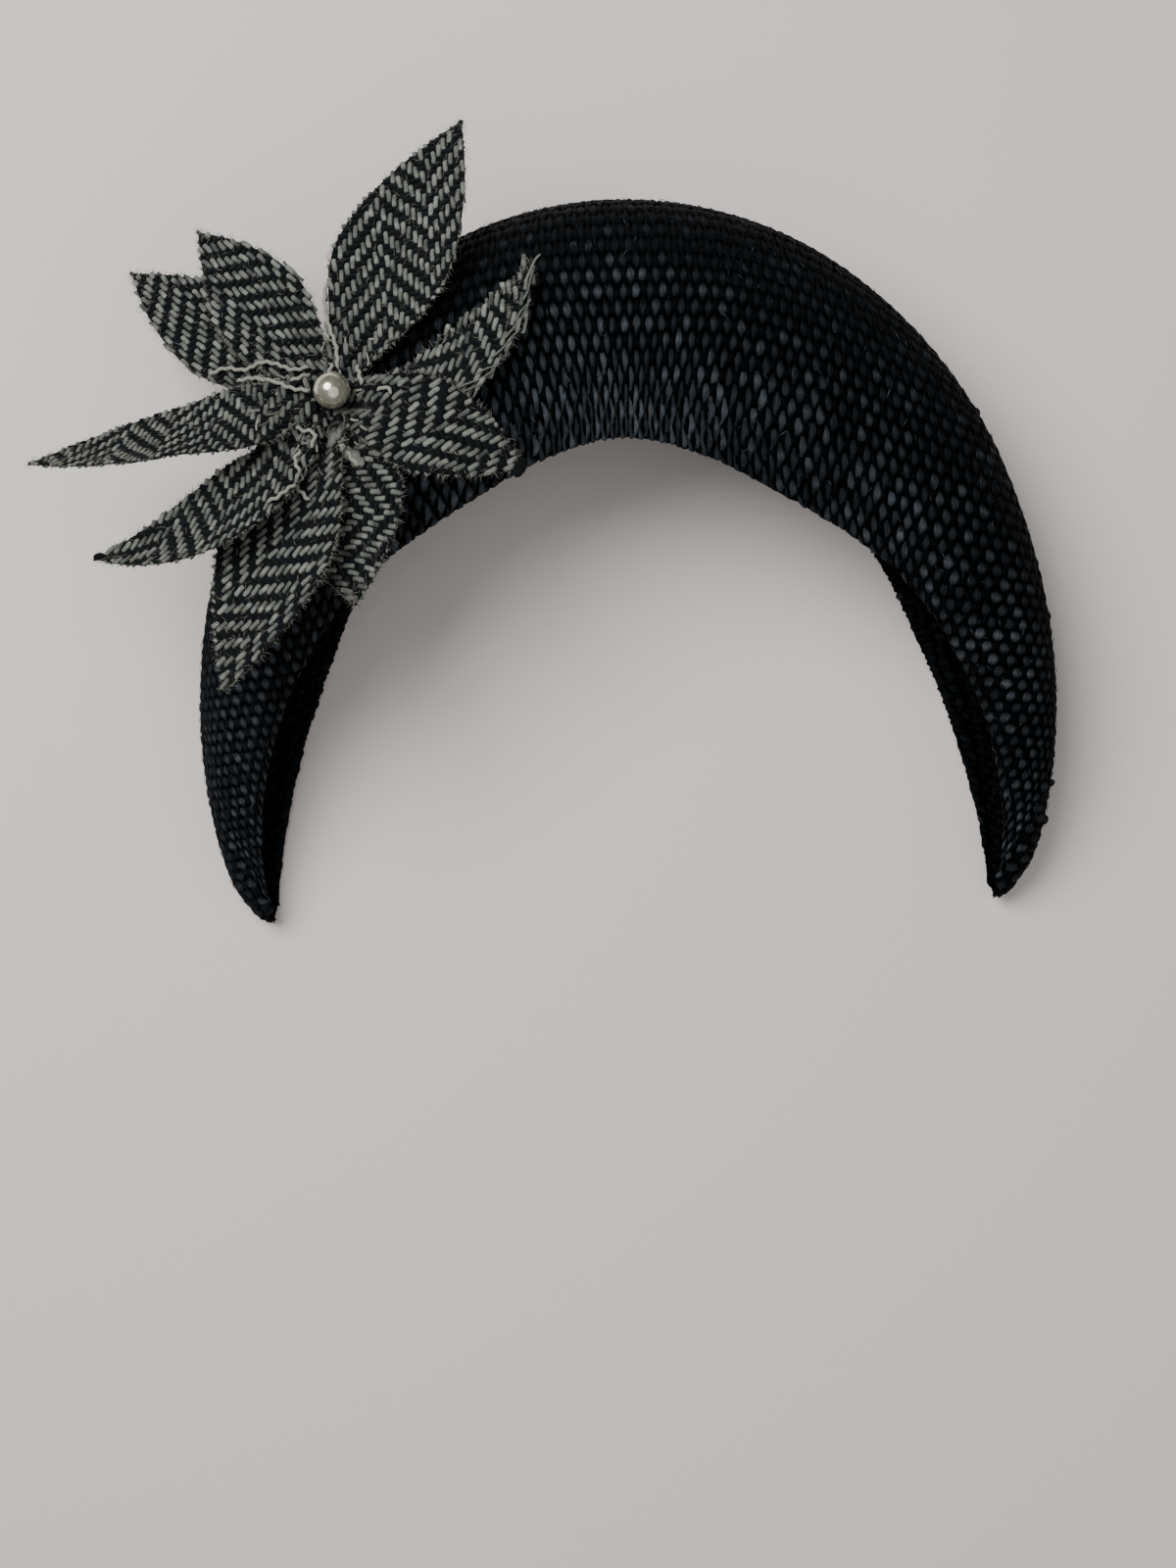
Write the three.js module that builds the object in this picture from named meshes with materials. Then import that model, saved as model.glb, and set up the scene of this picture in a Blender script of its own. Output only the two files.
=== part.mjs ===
// Halo headpiece: a blocked crescent band of black woven straw with a tweed flower and one pearl.
// Millimetres. It lies on its back: +Z out of the band's front, +Y to the crown, +X to the wearer's left.
import * as THREE from "three";
import { mergeVertices } from "three/addons/utils/BufferGeometryUtils.js";

const { degToRad, smoothstep } = THREE.MathUtils;

const MERGE = 1e-3; // points nearer than this are one

// Band of straw
const WALL = 2.0; // blocked straw with its stiffening
const HEM = 3.0; // wall where the edge is turned under at both rims
const HEM_SHARE = 0.16; // part of the section, from each rim, over which the wall swells to the hem
const THIN_WALL_SHARE = 0.28; // wall as a part of the band's width where the band gets narrow
const BAND_STATIONS = 52; // sections from tip to tip
const LIP_STEPS = 3;
const ARC_STEPS = 8;
const FRONT_SHARE = 0.32; // place of the foremost line between front rim and crest
const REAR_SHARE = 0.4; // place of the rearmost line between rear rim and crest
const FRONT_DROP = 0.15; // how far the front rim turns back, as a part of the depth
const REAR_LIFT = 0.06; // how far the rear rim turns up, as a part of the depth
const REST_SHARE = 0.12; // flat strip it lies on, as a part of the width from rear rim to crest
const ROUNDNESS = 2.2; // power of the section's rounded quarters, 2 being an ellipse
const CREST_SHARE = 0.5; // place of the crest in the depth
const FILL_FROM = -26; // from here to the tip the gathered straw fills the section
const TIP_ANGLE = -31;
const CROWN_ANGLE = 90;

// One row a section, crown to tip: angle round the band, radius of the crest and of both rims, depth
const BAND_SECTIONS = [
  { angle: 90, crest: 110.0, frontRim: 51.5, rearRim: 68.0, depth: 68.0 },
  { angle: 70, crest: 108.5, frontRim: 50.5, rearRim: 67.5, depth: 66.5 },
  { angle: 52, crest: 105.0, frontRim: 51.5, rearRim: 66.5, depth: 61.5 },
  { angle: 36, crest: 102.0, frontRim: 56.5, rearRim: 66.5, depth: 55.0 },
  { angle: 20, crest: 99.5, frontRim: 65.0, rearRim: 68.0, depth: 48.0 },
  { angle: 6, crest: 99.5, frontRim: 73.0, rearRim: 71.0, depth: 41.0 },
  { angle: -7, crest: 101.0, frontRim: 82.0, rearRim: 77.5, depth: 33.0 },
  { angle: -17, crest: 103.0, frontRim: 89.5, rearRim: 85.0, depth: 25.0 },
  { angle: -25, crest: 104.5, frontRim: 96.0, rearRim: 93.0, depth: 16.5 },
  { angle: TIP_ANGLE, crest: 103.5, frontRim: 99.5, rearRim: 98.5, depth: 9.0 },
];
const BAND_COLUMNS = ["crest", "frontRim", "rearRim", "depth"];

// Flower of tweed
const CLOTH = 1.3; // thickness of the tweed
const GAP = 0.3; // room between pieces that lie on each other
const FLOWER_AT = new THREE.Vector3(-62.3, 63.0, 56.9); // middle of the lowest layer
const FLOWER_TILT = 18; // lean of the flower, outwards
const FLOWER_LEAN_TO = 134; // bearing that it leans to
const BASE_RADIUS = 3.0; // where the gathered petals start, from the flower's middle
const WIDEST_AT = 0.45; // place of the widest part along a petal
const TAPER = 1.7; // power of the taper to the point
const POINT_HALF = 0.5; // half the width left at the point
const ROLL_SETTLED = 0.5; // part of the length over which a petal turns on its own line
const CUP_SETTLED = 0.4; // part of the length over which it opens from the gather
const CUP_AT_BASE = 0.35; // share of the cupping that the gather already has
const PETAL_STEPS = 12;
const PETAL_STRIPS = 6;

// One row a petal: height in the stack in layers, bearing and its change to the point, length and width of
// the cut cloth, gathered end as a part of that width, pitch at the base and at the point, roll on
// its own line, half angle of the cup
const PETAL_COLUMNS = [
  "name", "layer", "bearing", "bend", "length", "width", "base", "pitch", "pointPitch", "roll", "cup",
];
const PETALS = [
  ["top", 2.1, 61, 4, 64.5, 29.5, 0.28, 10, -3, -6, 12],
  ["upper_left", 1.1, 125, 4, 54, 22, 0.42, -2, -6, -8, 14],
  ["left_high", 0, 145, -5, 64.5, 23, 0.4, -4, -12, 8, 14],
  ["left_long", 3.25, 195, -12, 66, 24, 0.42, 6, 0, 42, 12],
  ["left_low", 2.2, 240, -60, 63, 20.5, 0.24, 1, 0, 20, 20],
  ["bottom", 1.1, 249, -4, 65, 28, 0.4, -2, -10, 4, 14],
  ["bottom_inner", 0, 275, -4, 42, 31, 0.26, -3, -20, 12, 12],
  ["front_low", 3.25, 338, -2, 45, 21, 0.48, 14, -40, 18, 14],
  ["front_high", 0, 349, 82, 56, 14, 0.2, 12.5, 6, 2, 6],
].map((row) => Object.fromEntries(row.map((value, i) => [PETAL_COLUMNS[i], value])));

// Pearl
const PEARL_DIAMETER = 8.0;
const PEARL_HEIGHT = 10.4; // its middle above the lowest layer
const PEARL_OUT = 3.1; // how far from the flower's middle it is sewn
const PEARL_BEARING = 333;
const PEARL_ROUND = 18;
const PEARL_RINGS = 14;

const STRAW = { color: 0x14161b, roughness: 0.5, metalness: 0 };
const TWEED = { color: 0x77776f, roughness: 0.95, metalness: 0 };
const PEARL = { color: 0xcdc1aa, roughness: 0.22, metalness: 0 };

/** A mesh from points and triangles, its faces turned outwards. */
function closedMesh(name, points, triangles, finish) {
  const raw = new THREE.BufferGeometry();
  raw.setAttribute("position", new THREE.Float32BufferAttribute(points.flatMap((p) => p.toArray()), 3));
  const across = new THREE.Vector3();
  const sixfold = ([a, b, c]) => points[a].dot(across.crossVectors(points[b], points[c]));
  const volume = triangles.reduce((sum, triangle) => sum + sixfold(triangle), 0);
  raw.setIndex(triangles.flatMap(([a, b, c]) => (volume > 0 ? [a, b, c] : [a, c, b])));
  const geometry = mergeVertices(raw, MERGE);
  geometry.computeVertexNormals();
  const mesh = new THREE.Mesh(geometry, new THREE.MeshStandardMaterial(finish));
  mesh.name = name;
  return mesh;
}

/** Reads the band's columns at any angle from tip to tip, the far half mirrored. */
function bandReader() {
  const farHalf = BAND_SECTIONS.slice(1).map((row) => ({ ...row, angle: 2 * CROWN_ANGLE - row.angle }));
  const rows = [...BAND_SECTIONS.slice().reverse(), ...farHalf];
  const values = rows.flatMap((row) => BAND_COLUMNS.map((column) => row[column]));
  const reader = new THREE.CubicInterpolant(rows.map((row) => row.angle), values, BAND_COLUMNS.length, []);
  return (angle) => {
    const [crest, frontRim, rearRim, depth] = reader.evaluate(angle);
    return { crest, frontRim, rearRim, depth };
  };
}

/** Outside of one section, front rim over the crest to the rear rim: x is the radius, y the depth. */
function sectionOutside({ crest, frontRim, rearRim, depth }) {
  const foremost = frontRim + FRONT_SHARE * (crest - frontRim);
  const rearmost = rearRim + REAR_SHARE * (crest - rearRim);
  const restHalf = 0.5 * REST_SHARE * (crest - rearRim);
  const crestDepth = CREST_SHARE * depth;
  const points = [];
  for (let i = 0; i < LIP_STEPS; i += 1) {
    const back = 1 - i / LIP_STEPS;
    const height = depth * (1 - FRONT_DROP * back * back);
    points.push(new THREE.Vector2(foremost - back * (foremost - frontRim), height));
  }
  for (let i = 0; i <= ARC_STEPS; i += 1) {
    const turn = degToRad(90 * (1 - i / ARC_STEPS));
    const out = Math.cos(turn) ** (2 / ROUNDNESS);
    const height = crestDepth + Math.sin(turn) ** (2 / ROUNDNESS) * (depth - crestDepth);
    points.push(new THREE.Vector2(foremost + out * (crest - foremost), height));
  }
  const restOut = rearmost + restHalf;
  for (let i = 1; i <= ARC_STEPS; i += 1) {
    const turn = degToRad((90 * i) / ARC_STEPS);
    const out = i === ARC_STEPS ? 0 : Math.cos(turn) ** (2 / ROUNDNESS);
    const down = i === ARC_STEPS ? 1 : Math.sin(turn) ** (2 / ROUNDNESS);
    points.push(new THREE.Vector2(restOut + out * (crest - restOut), crestDepth * (1 - down)));
  }
  const restIn = rearmost - restHalf;
  for (let i = 0; i <= LIP_STEPS; i += 1) {
    const on = i / LIP_STEPS;
    points.push(new THREE.Vector2(restIn - on * (restIn - rearRim), depth * REAR_LIFT * on * on));
  }
  return points;
}

/** Inside of a section: its outside moved in by the wall, and filled up to the rims at the tips. */
function sectionInside(outside, { crest, frontRim }, angle) {
  const wall = Math.min(WALL, THIN_WALL_SHARE * (crest - frontRim));
  const fromTip = angle > CROWN_ANGLE ? 2 * CROWN_ANGLE - angle : angle;
  const fill = 1 - smoothstep(fromTip, TIP_ANGLE, FILL_FROM);
  const last = outside.length - 1;
  const frontEnd = outside[0];
  const rearEnd = outside[last];
  return outside.map((point, i) => {
    const along = outside[Math.min(i + 1, last)].clone().sub(outside[Math.max(i - 1, 0)]).normalize();
    const share = i / last;
    const swell = 1 - smoothstep(Math.min(share, 1 - share), 0, HEM_SHARE);
    const thick = wall * (1 + (HEM / WALL - 1) * swell);
    const inside = new THREE.Vector2(point.x + thick * along.y, point.y - thick * along.x);
    return inside.lerp(frontEnd.clone().lerp(rearEnd, share), fill);
  });
}

/** The straw band, lofted through its sections and closed at both tips. */
function strawBand() {
  const columnsAt = bandReader();
  const points = [];
  const triangles = [];
  let outsideCount = 0;
  for (let s = 0; s < BAND_STATIONS; s += 1) {
    const angle = TIP_ANGLE + (2 * (CROWN_ANGLE - TIP_ANGLE) * s) / (BAND_STATIONS - 1);
    const columns = columnsAt(angle);
    const outside = sectionOutside(columns);
    const loop = [...outside, ...sectionInside(outside, columns, angle).reverse()];
    outsideCount = outside.length;
    const turn = degToRad(angle);
    points.push(...loop.map((p) => new THREE.Vector3(p.x * Math.cos(turn), p.x * Math.sin(turn), p.y)));
  }
  const count = 2 * outsideCount;
  for (let s = 0; s + 1 < BAND_STATIONS; s += 1) {
    for (let j = 0; j < count; j += 1) {
      const [a, b] = [s * count + j, s * count + ((j + 1) % count)];
      triangles.push([a, b, b + count], [a, b + count, a + count]);
    }
  }
  const farEnd = (BAND_STATIONS - 1) * count;
  for (let j = 0; j + 1 < outsideCount; j += 1) {
    const [a, b, c, d] = [j, j + 1, count - 2 - j, count - 1 - j];
    triangles.push([a, c, b], [a, d, c]);
    triangles.push([farEnd + a, farEnd + b, farEnd + c], [farEnd + a, farEnd + c, farEnd + d]);
  }
  return closedMesh("halo_band", points, triangles, STRAW);
}

/** Half width of a petal at a place along it, as a part of its widest. */
function leafShare(along, base) {
  const opening = base + (1 - base) * smoothstep(along, 0, WIDEST_AT);
  const past = Math.max(0, (along - WIDEST_AT) / (1 - WIDEST_AT));
  return opening * (1 - past ** TAPER);
}

/** One petal: a cut leaf of cloth bent along its line, turned and cupped, in the flower's own frame. */
function petal(row) {
  const points = [];
  const step = row.length / PETAL_STEPS;
  const place = new THREE.Vector3(BASE_RADIUS, 0, row.layer * (CLOTH + GAP));
  place.applyAxisAngle(new THREE.Vector3(0, 0, 1), degToRad(row.bearing));
  let before = null;
  for (let i = 0; i <= PETAL_STEPS; i += 1) {
    const along = i / PETAL_STEPS;
    const bearing = degToRad(row.bearing + row.bend * along);
    const pitch = degToRad(row.pitch + (row.pointPitch - row.pitch) * along);
    const level = Math.cos(pitch);
    const ahead = new THREE.Vector3(level * Math.cos(bearing), level * Math.sin(bearing), Math.sin(pitch));
    if (before) place.addScaledVector(before.clone().add(ahead), 0.5 * step);
    before = ahead;
    const side = new THREE.Vector3(-Math.sin(bearing), Math.cos(bearing), 0);
    side.applyAxisAngle(ahead, degToRad(row.roll) * smoothstep(along, 0, ROLL_SETTLED));
    const face = new THREE.Vector3().crossVectors(ahead, side);
    const half = Math.max(POINT_HALF, 0.5 * row.width * leafShare(along, row.base));
    const cup = degToRad(row.cup) * (CUP_AT_BASE + (1 - CUP_AT_BASE) * smoothstep(along, 0, CUP_SETTLED));
    for (let j = 0; j <= PETAL_STRIPS; j += 1) {
      const turn = cup * ((2 * j) / PETAL_STRIPS - 1);
      const middle = place.clone().addScaledVector(side, (half * Math.sin(turn)) / cup);
      middle.addScaledVector(face, (half * (1 - Math.cos(turn))) / cup);
      const out = face.clone().multiplyScalar(Math.cos(turn)).addScaledVector(side, -Math.sin(turn));
      out.multiplyScalar(0.5 * CLOTH);
      points.push(middle.clone().add(out), middle.clone().sub(out));
    }
  }
  const at = (i, j, under) => 2 * (i * (PETAL_STRIPS + 1) + j) + under;
  const triangles = [];
  const quad = (a, b, c, d) => triangles.push([a, b, c], [a, c, d]);
  for (let i = 0; i < PETAL_STEPS; i += 1) {
    for (let j = 0; j < PETAL_STRIPS; j += 1) {
      quad(at(i, j, 0), at(i + 1, j, 0), at(i + 1, j + 1, 0), at(i, j + 1, 0));
      quad(at(i, j, 1), at(i, j + 1, 1), at(i + 1, j + 1, 1), at(i + 1, j, 1));
    }
    quad(at(i, 0, 0), at(i, 0, 1), at(i + 1, 0, 1), at(i + 1, 0, 0));
    const far = PETAL_STRIPS;
    quad(at(i, far, 0), at(i + 1, far, 0), at(i + 1, far, 1), at(i, far, 1));
  }
  for (let j = 0; j < PETAL_STRIPS; j += 1) {
    quad(at(0, j, 0), at(0, j + 1, 0), at(0, j + 1, 1), at(0, j, 1));
    quad(at(PETAL_STEPS, j, 0), at(PETAL_STEPS, j, 1), at(PETAL_STEPS, j + 1, 1), at(PETAL_STEPS, j + 1, 0));
  }
  return closedMesh(`petal_${row.name}`, points, triangles, TWEED);
}

/** The pearl in the flower's own frame. */
function pearl() {
  const geometry = new THREE.SphereGeometry(0.5 * PEARL_DIAMETER, PEARL_ROUND, PEARL_RINGS);
  const bearing = degToRad(PEARL_BEARING);
  geometry.translate(PEARL_OUT * Math.cos(bearing), PEARL_OUT * Math.sin(bearing), PEARL_HEIGHT);
  const mesh = new THREE.Mesh(geometry, new THREE.MeshStandardMaterial(PEARL));
  mesh.name = "pearl";
  return mesh;
}

const group = new THREE.Group();
group.name = "halo_headpiece";

const leanTo = degToRad(FLOWER_LEAN_TO);
const leanAxis = new THREE.Vector3(-Math.sin(leanTo), Math.cos(leanTo), 0);
const flowerFrame = new THREE.Matrix4().makeRotationAxis(leanAxis, degToRad(FLOWER_TILT));
flowerFrame.setPosition(FLOWER_AT);
group.add(strawBand());
for (const piece of [...PETALS.map(petal), pearl()]) {
  piece.geometry.applyMatrix4(flowerFrame);
  group.add(piece);
}

// The origin is under the middle of the whole piece, on the surface that it lies on
const box = new THREE.Box3().setFromObject(group);
const middle = box.getCenter(new THREE.Vector3());
for (const piece of group.children) piece.geometry.translate(-middle.x, -middle.y, -box.min.z);

export default group;
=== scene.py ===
"""Looks of a halo headpiece: a band of woven straw, a flower of herringbone tweed and one pearl.

Shapes are worked out in millimetres with the middle of the band's arc at the origin, +Z out of the band's
front and +Y to its crown. They become metres in the part's own frame when a mesh is made.
"""

from __future__ import annotations

import logging
import math
from collections.abc import Iterator
from dataclasses import dataclass, field, replace
from enum import Enum
from typing import ClassVar

import bpy
import numpy as np
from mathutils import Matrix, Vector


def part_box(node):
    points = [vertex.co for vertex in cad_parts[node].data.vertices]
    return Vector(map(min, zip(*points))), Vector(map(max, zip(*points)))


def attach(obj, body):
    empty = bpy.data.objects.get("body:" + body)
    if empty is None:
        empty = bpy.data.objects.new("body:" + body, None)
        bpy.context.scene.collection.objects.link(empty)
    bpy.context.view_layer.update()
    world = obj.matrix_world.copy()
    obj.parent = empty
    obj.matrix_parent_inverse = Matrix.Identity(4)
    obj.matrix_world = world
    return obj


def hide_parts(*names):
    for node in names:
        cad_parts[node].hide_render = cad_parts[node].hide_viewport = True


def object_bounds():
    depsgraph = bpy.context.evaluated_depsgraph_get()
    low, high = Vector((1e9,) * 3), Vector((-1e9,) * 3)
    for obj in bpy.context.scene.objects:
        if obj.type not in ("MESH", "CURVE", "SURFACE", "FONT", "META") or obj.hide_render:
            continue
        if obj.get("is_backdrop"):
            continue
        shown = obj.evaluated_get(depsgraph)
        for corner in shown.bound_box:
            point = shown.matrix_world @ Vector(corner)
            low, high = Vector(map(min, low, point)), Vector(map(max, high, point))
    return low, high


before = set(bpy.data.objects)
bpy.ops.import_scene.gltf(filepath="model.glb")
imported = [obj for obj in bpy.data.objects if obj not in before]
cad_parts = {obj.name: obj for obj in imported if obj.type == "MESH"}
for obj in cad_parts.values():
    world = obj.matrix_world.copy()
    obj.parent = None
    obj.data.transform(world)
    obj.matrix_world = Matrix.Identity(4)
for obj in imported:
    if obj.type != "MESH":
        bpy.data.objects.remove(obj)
CAD_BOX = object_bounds()

LOG = logging.getLogger("halo_headpiece")
MM = 0.001
BODY = "root"
CROWN_REACH = 110.0  # from the middle of the arc to the crown's outside
STRAW_SEED = 11
TWEED_SEED = 23
FULL_TURN = 2 * math.pi

Array = np.ndarray
Rng = np.random.Generator
Table = tuple[tuple[float, ...], ...]
Point = tuple[float, float, float]


def frame_shift() -> Array:
    """Find where the middle of the band's arc lies in the part's frame, in millimetres."""
    low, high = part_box("halo_band")
    return np.array([(low[0] + high[0]) / (2 * MM), high[1] / MM - CROWN_REACH, low[2] / MM])


SHIFT = frame_shift()


def linear(colour: str) -> tuple[float, float, float, float]:
    """Turn an sRGB hex colour into linear values.

    Args:
        colour: Six hex digits after a hash.

    Returns:
        Linear red, green, blue and a full alpha.
    """
    parts = [int(colour[i : i + 2], 16) / 255 for i in (1, 3, 5)]
    lit = [c / 12.92 if c <= 0.04045 else ((c + 0.055) / 1.055) ** 2.4 for c in parts]
    return (lit[0], lit[1], lit[2], 1.0)


def smoothstep(x: Array | float, low: float, high: float) -> Array:
    """Ease from 0 at low to 1 at high.

    Args:
        x: Where to read the ease.
        low: Start of the ease.
        high: End of the ease.

    Returns:
        The eased share.
    """
    t = np.clip((np.asarray(x, float) - low) / (high - low), 0.0, 1.0)
    return t * t * (3 - 2 * t)


def hermite(start: Array, leave: Array, end: Array, arrive: Array, t: Array) -> Array:
    """Draw a smooth curve from one point to the next.

    Args:
        start: Where it starts.
        leave: Tangent there.
        end: Where it ends.
        arrive: Tangent there.
        t: Shares of the way.

    Returns:
        Points of the curve.
    """
    left = 1 - t
    ends = start * (1 + 2 * t) * left**2 + end * t * t * (3 - 2 * t)
    return ends + leave * t * left**2 - arrive * t * t * left


def unit(vectors: Array) -> Array:
    """Give vectors a length of 1."""
    return vectors / np.maximum(np.linalg.norm(vectors, axis=-1, keepdims=True), 1e-9)


def distances(line: Array) -> Array:
    """Measure how far along a line each of its points is."""
    return np.concatenate([[0.0], np.cumsum(np.linalg.norm(np.diff(line, axis=0), axis=1))])


def ruler(spacing: Table, low: float, high: float) -> tuple[Array, Array]:
    """Count the strands along a line whose spacing changes.

    Args:
        spacing: Places and the spacing there.
        low: First place.
        high: Last place.

    Returns:
        Places and the number of the strand at each, 0 at place 0.
    """
    at = np.linspace(low, high, 4001)
    density = 1 / np.interp(at, *np.array(spacing, float).T)
    number = np.concatenate([[0.0], np.cumsum(0.5 * (density[1:] + density[:-1]) * np.diff(at))])
    return at, number - np.interp(0.0, at, number)


def runs(mask: Array, shortest: int = 3) -> Iterator[slice]:
    """Find the unbroken stretches of a row of yes and no.

    Args:
        mask: One yes or no for each sample of a line.
        shortest: Stretches with fewer samples are left out.

    Returns:
        The stretches as slices.
    """
    edges = np.flatnonzero(np.diff(np.concatenate([[0], mask.astype(int), [0]])))
    for start, stop in zip(edges[::2], edges[1::2]):
        if stop - start >= shortest:
            yield slice(int(start), int(stop))


def cells(number: Array) -> Array:
    """Turn a grid of point numbers into faces."""
    corners = [number[:-1, :-1], number[1:, :-1], number[1:, 1:], number[:-1, 1:]]
    return np.stack(corners, axis=-1).reshape(-1, 4)


def put(name: str, data: bpy.types.ID) -> bpy.types.Object:
    """Put a mesh, a light or a camera into the scene.

    Args:
        name: Name of the new object.
        data: What it shows.

    Returns:
        The new object.
    """
    thing = bpy.data.objects.new(name, data)
    bpy.context.scene.collection.objects.link(thing)
    return thing


@dataclass
class Joined:
    """Many small things gathered into one mesh."""

    points: list[Array] = field(default_factory=list)  # points of each thing, in millimetres
    quads: list[Array] = field(default_factory=list)  # faces of each thing, four points each
    tones: list[Array] = field(default_factory=list)  # how light each point is, from 0 to 1
    lies: list[Array] = field(default_factory=list)  # place in its own thread: across, up and along
    count: int = 0  # points so far

    def add(self, points: Array, quads: Array, tones: Array, lies: Array) -> None:
        """Add one thing.

        Args:
            points: Its points.
            quads: Its faces, numbered from its own first point.
            tones: Its tones, one a point.
            lies: Its places in the thread, one a point.
        """
        self.points.append(points)
        self.quads.append(quads + self.count)
        self.tones.append(tones)
        self.lies.append(lies)
        self.count += len(points)

    def sweep(self, centre: Array, wide: Array, tall: Array, sides: int, tone: Array) -> None:
        """Add a closed thread of oval section along a line of points.

        Args:
            centre: Points of the line.
            wide: Half the width at each point, as a vector.
            tall: Half the height at each point, as a vector.
            sides: Even number of sides.
            tone: Tone at each point of the line.
        """
        if np.sum(np.cross(wide, tall) * np.gradient(centre, axis=0)) < 0:
            wide = -wide
        turn = np.arange(sides) * (FULL_TURN / sides)
        cosine = np.cos(turn)[:, None]
        sine = np.sin(turn)[:, None]
        rings = centre[:, None] + cosine * wide[:, None] + sine * tall[:, None]
        number = np.arange(len(centre) * sides).reshape(len(centre), sides)
        after = np.roll(number, -1, axis=1)
        walls = np.stack([number[:-1], after[:-1], after[1:], number[1:]], axis=-1).reshape(-1, 4)
        fan = np.array([[0, k, k + 1, k + 2] for k in range(1, sides - 2, 2)])
        ends = np.concatenate([number[0][fan][:, ::-1], number[-1][fan]])
        lies = np.empty((len(centre), sides, 3))
        lies[..., 0] = np.cos(turn) * np.linalg.norm(wide, axis=1)[:, None]
        lies[..., 1] = np.sin(turn) * np.linalg.norm(tall, axis=1)[:, None]
        lies[..., 2] = distances(centre)[:, None]
        quads = np.concatenate([walls, ends])
        self.add(rings.reshape(-1, 3), quads, np.repeat(tone, sides), lies.reshape(-1, 3))

    def thread(self, path: Array, face: Array, thick: Array, sides: int, tone: float) -> None:
        """Add a round thread along a line of points.

        Args:
            path: Points of the line.
            face: Direction across the line, for each point or for all.
            thick: Half the thickness at each point.
            sides: Even number of sides.
            tone: Tone all along it.
        """
        ahead = unit(np.gradient(path, axis=0))
        wide = unit(np.cross(face, ahead))
        half = thick[:, None]
        self.sweep(path, wide * half, np.cross(ahead, wide) * half, sides, np.full(len(path), tone))

    def shell(self, out: Array, back: Array, tone: float) -> None:
        """Add a closed thin wall between two grids of points.

        Args:
            out: Grid of points of the outer side.
            back: Grid of points of the inner side.
            tone: Tone all over it.
        """
        size = out[..., 0].size
        front = np.arange(size).reshape(out.shape[:2])
        border = np.concatenate([front[0], front[1:, -1], front[-1, -2::-1], front[-2:0:-1, 0]])
        after = np.roll(border, -1)
        edge = np.stack([after, border, border + size, after + size], axis=-1)
        points = np.concatenate([out.reshape(-1, 3), back.reshape(-1, 3)])
        quads = np.concatenate([cells(front), cells(front + size)[:, ::-1], edge])
        self.add(points, quads, np.full(len(points), tone), points.copy())

    def piece(self, name: str, material: bpy.types.Material, slot: str) -> bpy.types.Object:
        """Make the mesh and set it in the part's frame.

        Args:
            name: Name of the piece.
            material: Its finish.
            slot: The material slot that it belongs to; not used.

        Returns:
            The new piece, riding on the part.
        """
        mesh = bpy.data.meshes.new(name)
        points = (np.concatenate(self.points) + SHIFT) * MM
        quads = np.concatenate(self.quads)
        mesh.vertices.add(len(points))
        mesh.vertices.foreach_set("co", points.ravel())
        mesh.loops.add(quads.size)
        mesh.loops.foreach_set("vertex_index", quads.ravel())
        mesh.polygons.add(len(quads))
        mesh.polygons.foreach_set("loop_start", np.arange(0, quads.size, 4))
        mesh.update(calc_edges=True)
        tone = mesh.attributes.new("tone", "FLOAT", "POINT")
        tone.data.foreach_set("value", np.concatenate(self.tones))
        lie = mesh.attributes.new("lie", "FLOAT_VECTOR", "POINT")
        lie.data.foreach_set("vector", np.concatenate(self.lies).ravel())
        mesh.polygons.foreach_set("use_smooth", np.ones(len(quads), dtype=bool))
        mesh.materials.append(material)
        piece = put(name, mesh)
        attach(piece, BODY)
        LOG.info("%s: %d triangles", name, 2 * len(quads))
        return piece


def new_material(name: str) -> tuple[bpy.types.Material, bpy.types.NodeTree]:
    """Start a material that has no nodes.

    Args:
        name: What the material is.

    Returns:
        The material and its tree of nodes.
    """
    material = bpy.data.materials.new(name)
    material.use_nodes = True
    material.node_tree.nodes.clear()
    return material, material.node_tree


def add_node(
    tree: bpy.types.NodeTree,
    kind: str,
    settings: dict[str | int, object] | None = None,
    links: dict[str | int, bpy.types.NodeSocket] | None = None,
) -> bpy.types.Node:
    """Add one node with its settings and links.

    Args:
        tree: Where the node goes.
        kind: Blender's name for the node, after the word that all of them start with.
        settings: Values of its properties or of its input sockets, by name or number.
        links: Sockets that feed its inputs, by name or number.

    Returns:
        The new node.
    """
    node = tree.nodes.new(f"ShaderNode{kind}")
    for name, value in (settings or {}).items():
        if isinstance(name, int) or name in node.inputs:
            node.inputs[name].default_value = value
        else:
            setattr(node, name, value)
    for name, source in (links or {}).items():
        tree.links.new(source, node.inputs[name])
    return node


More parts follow.
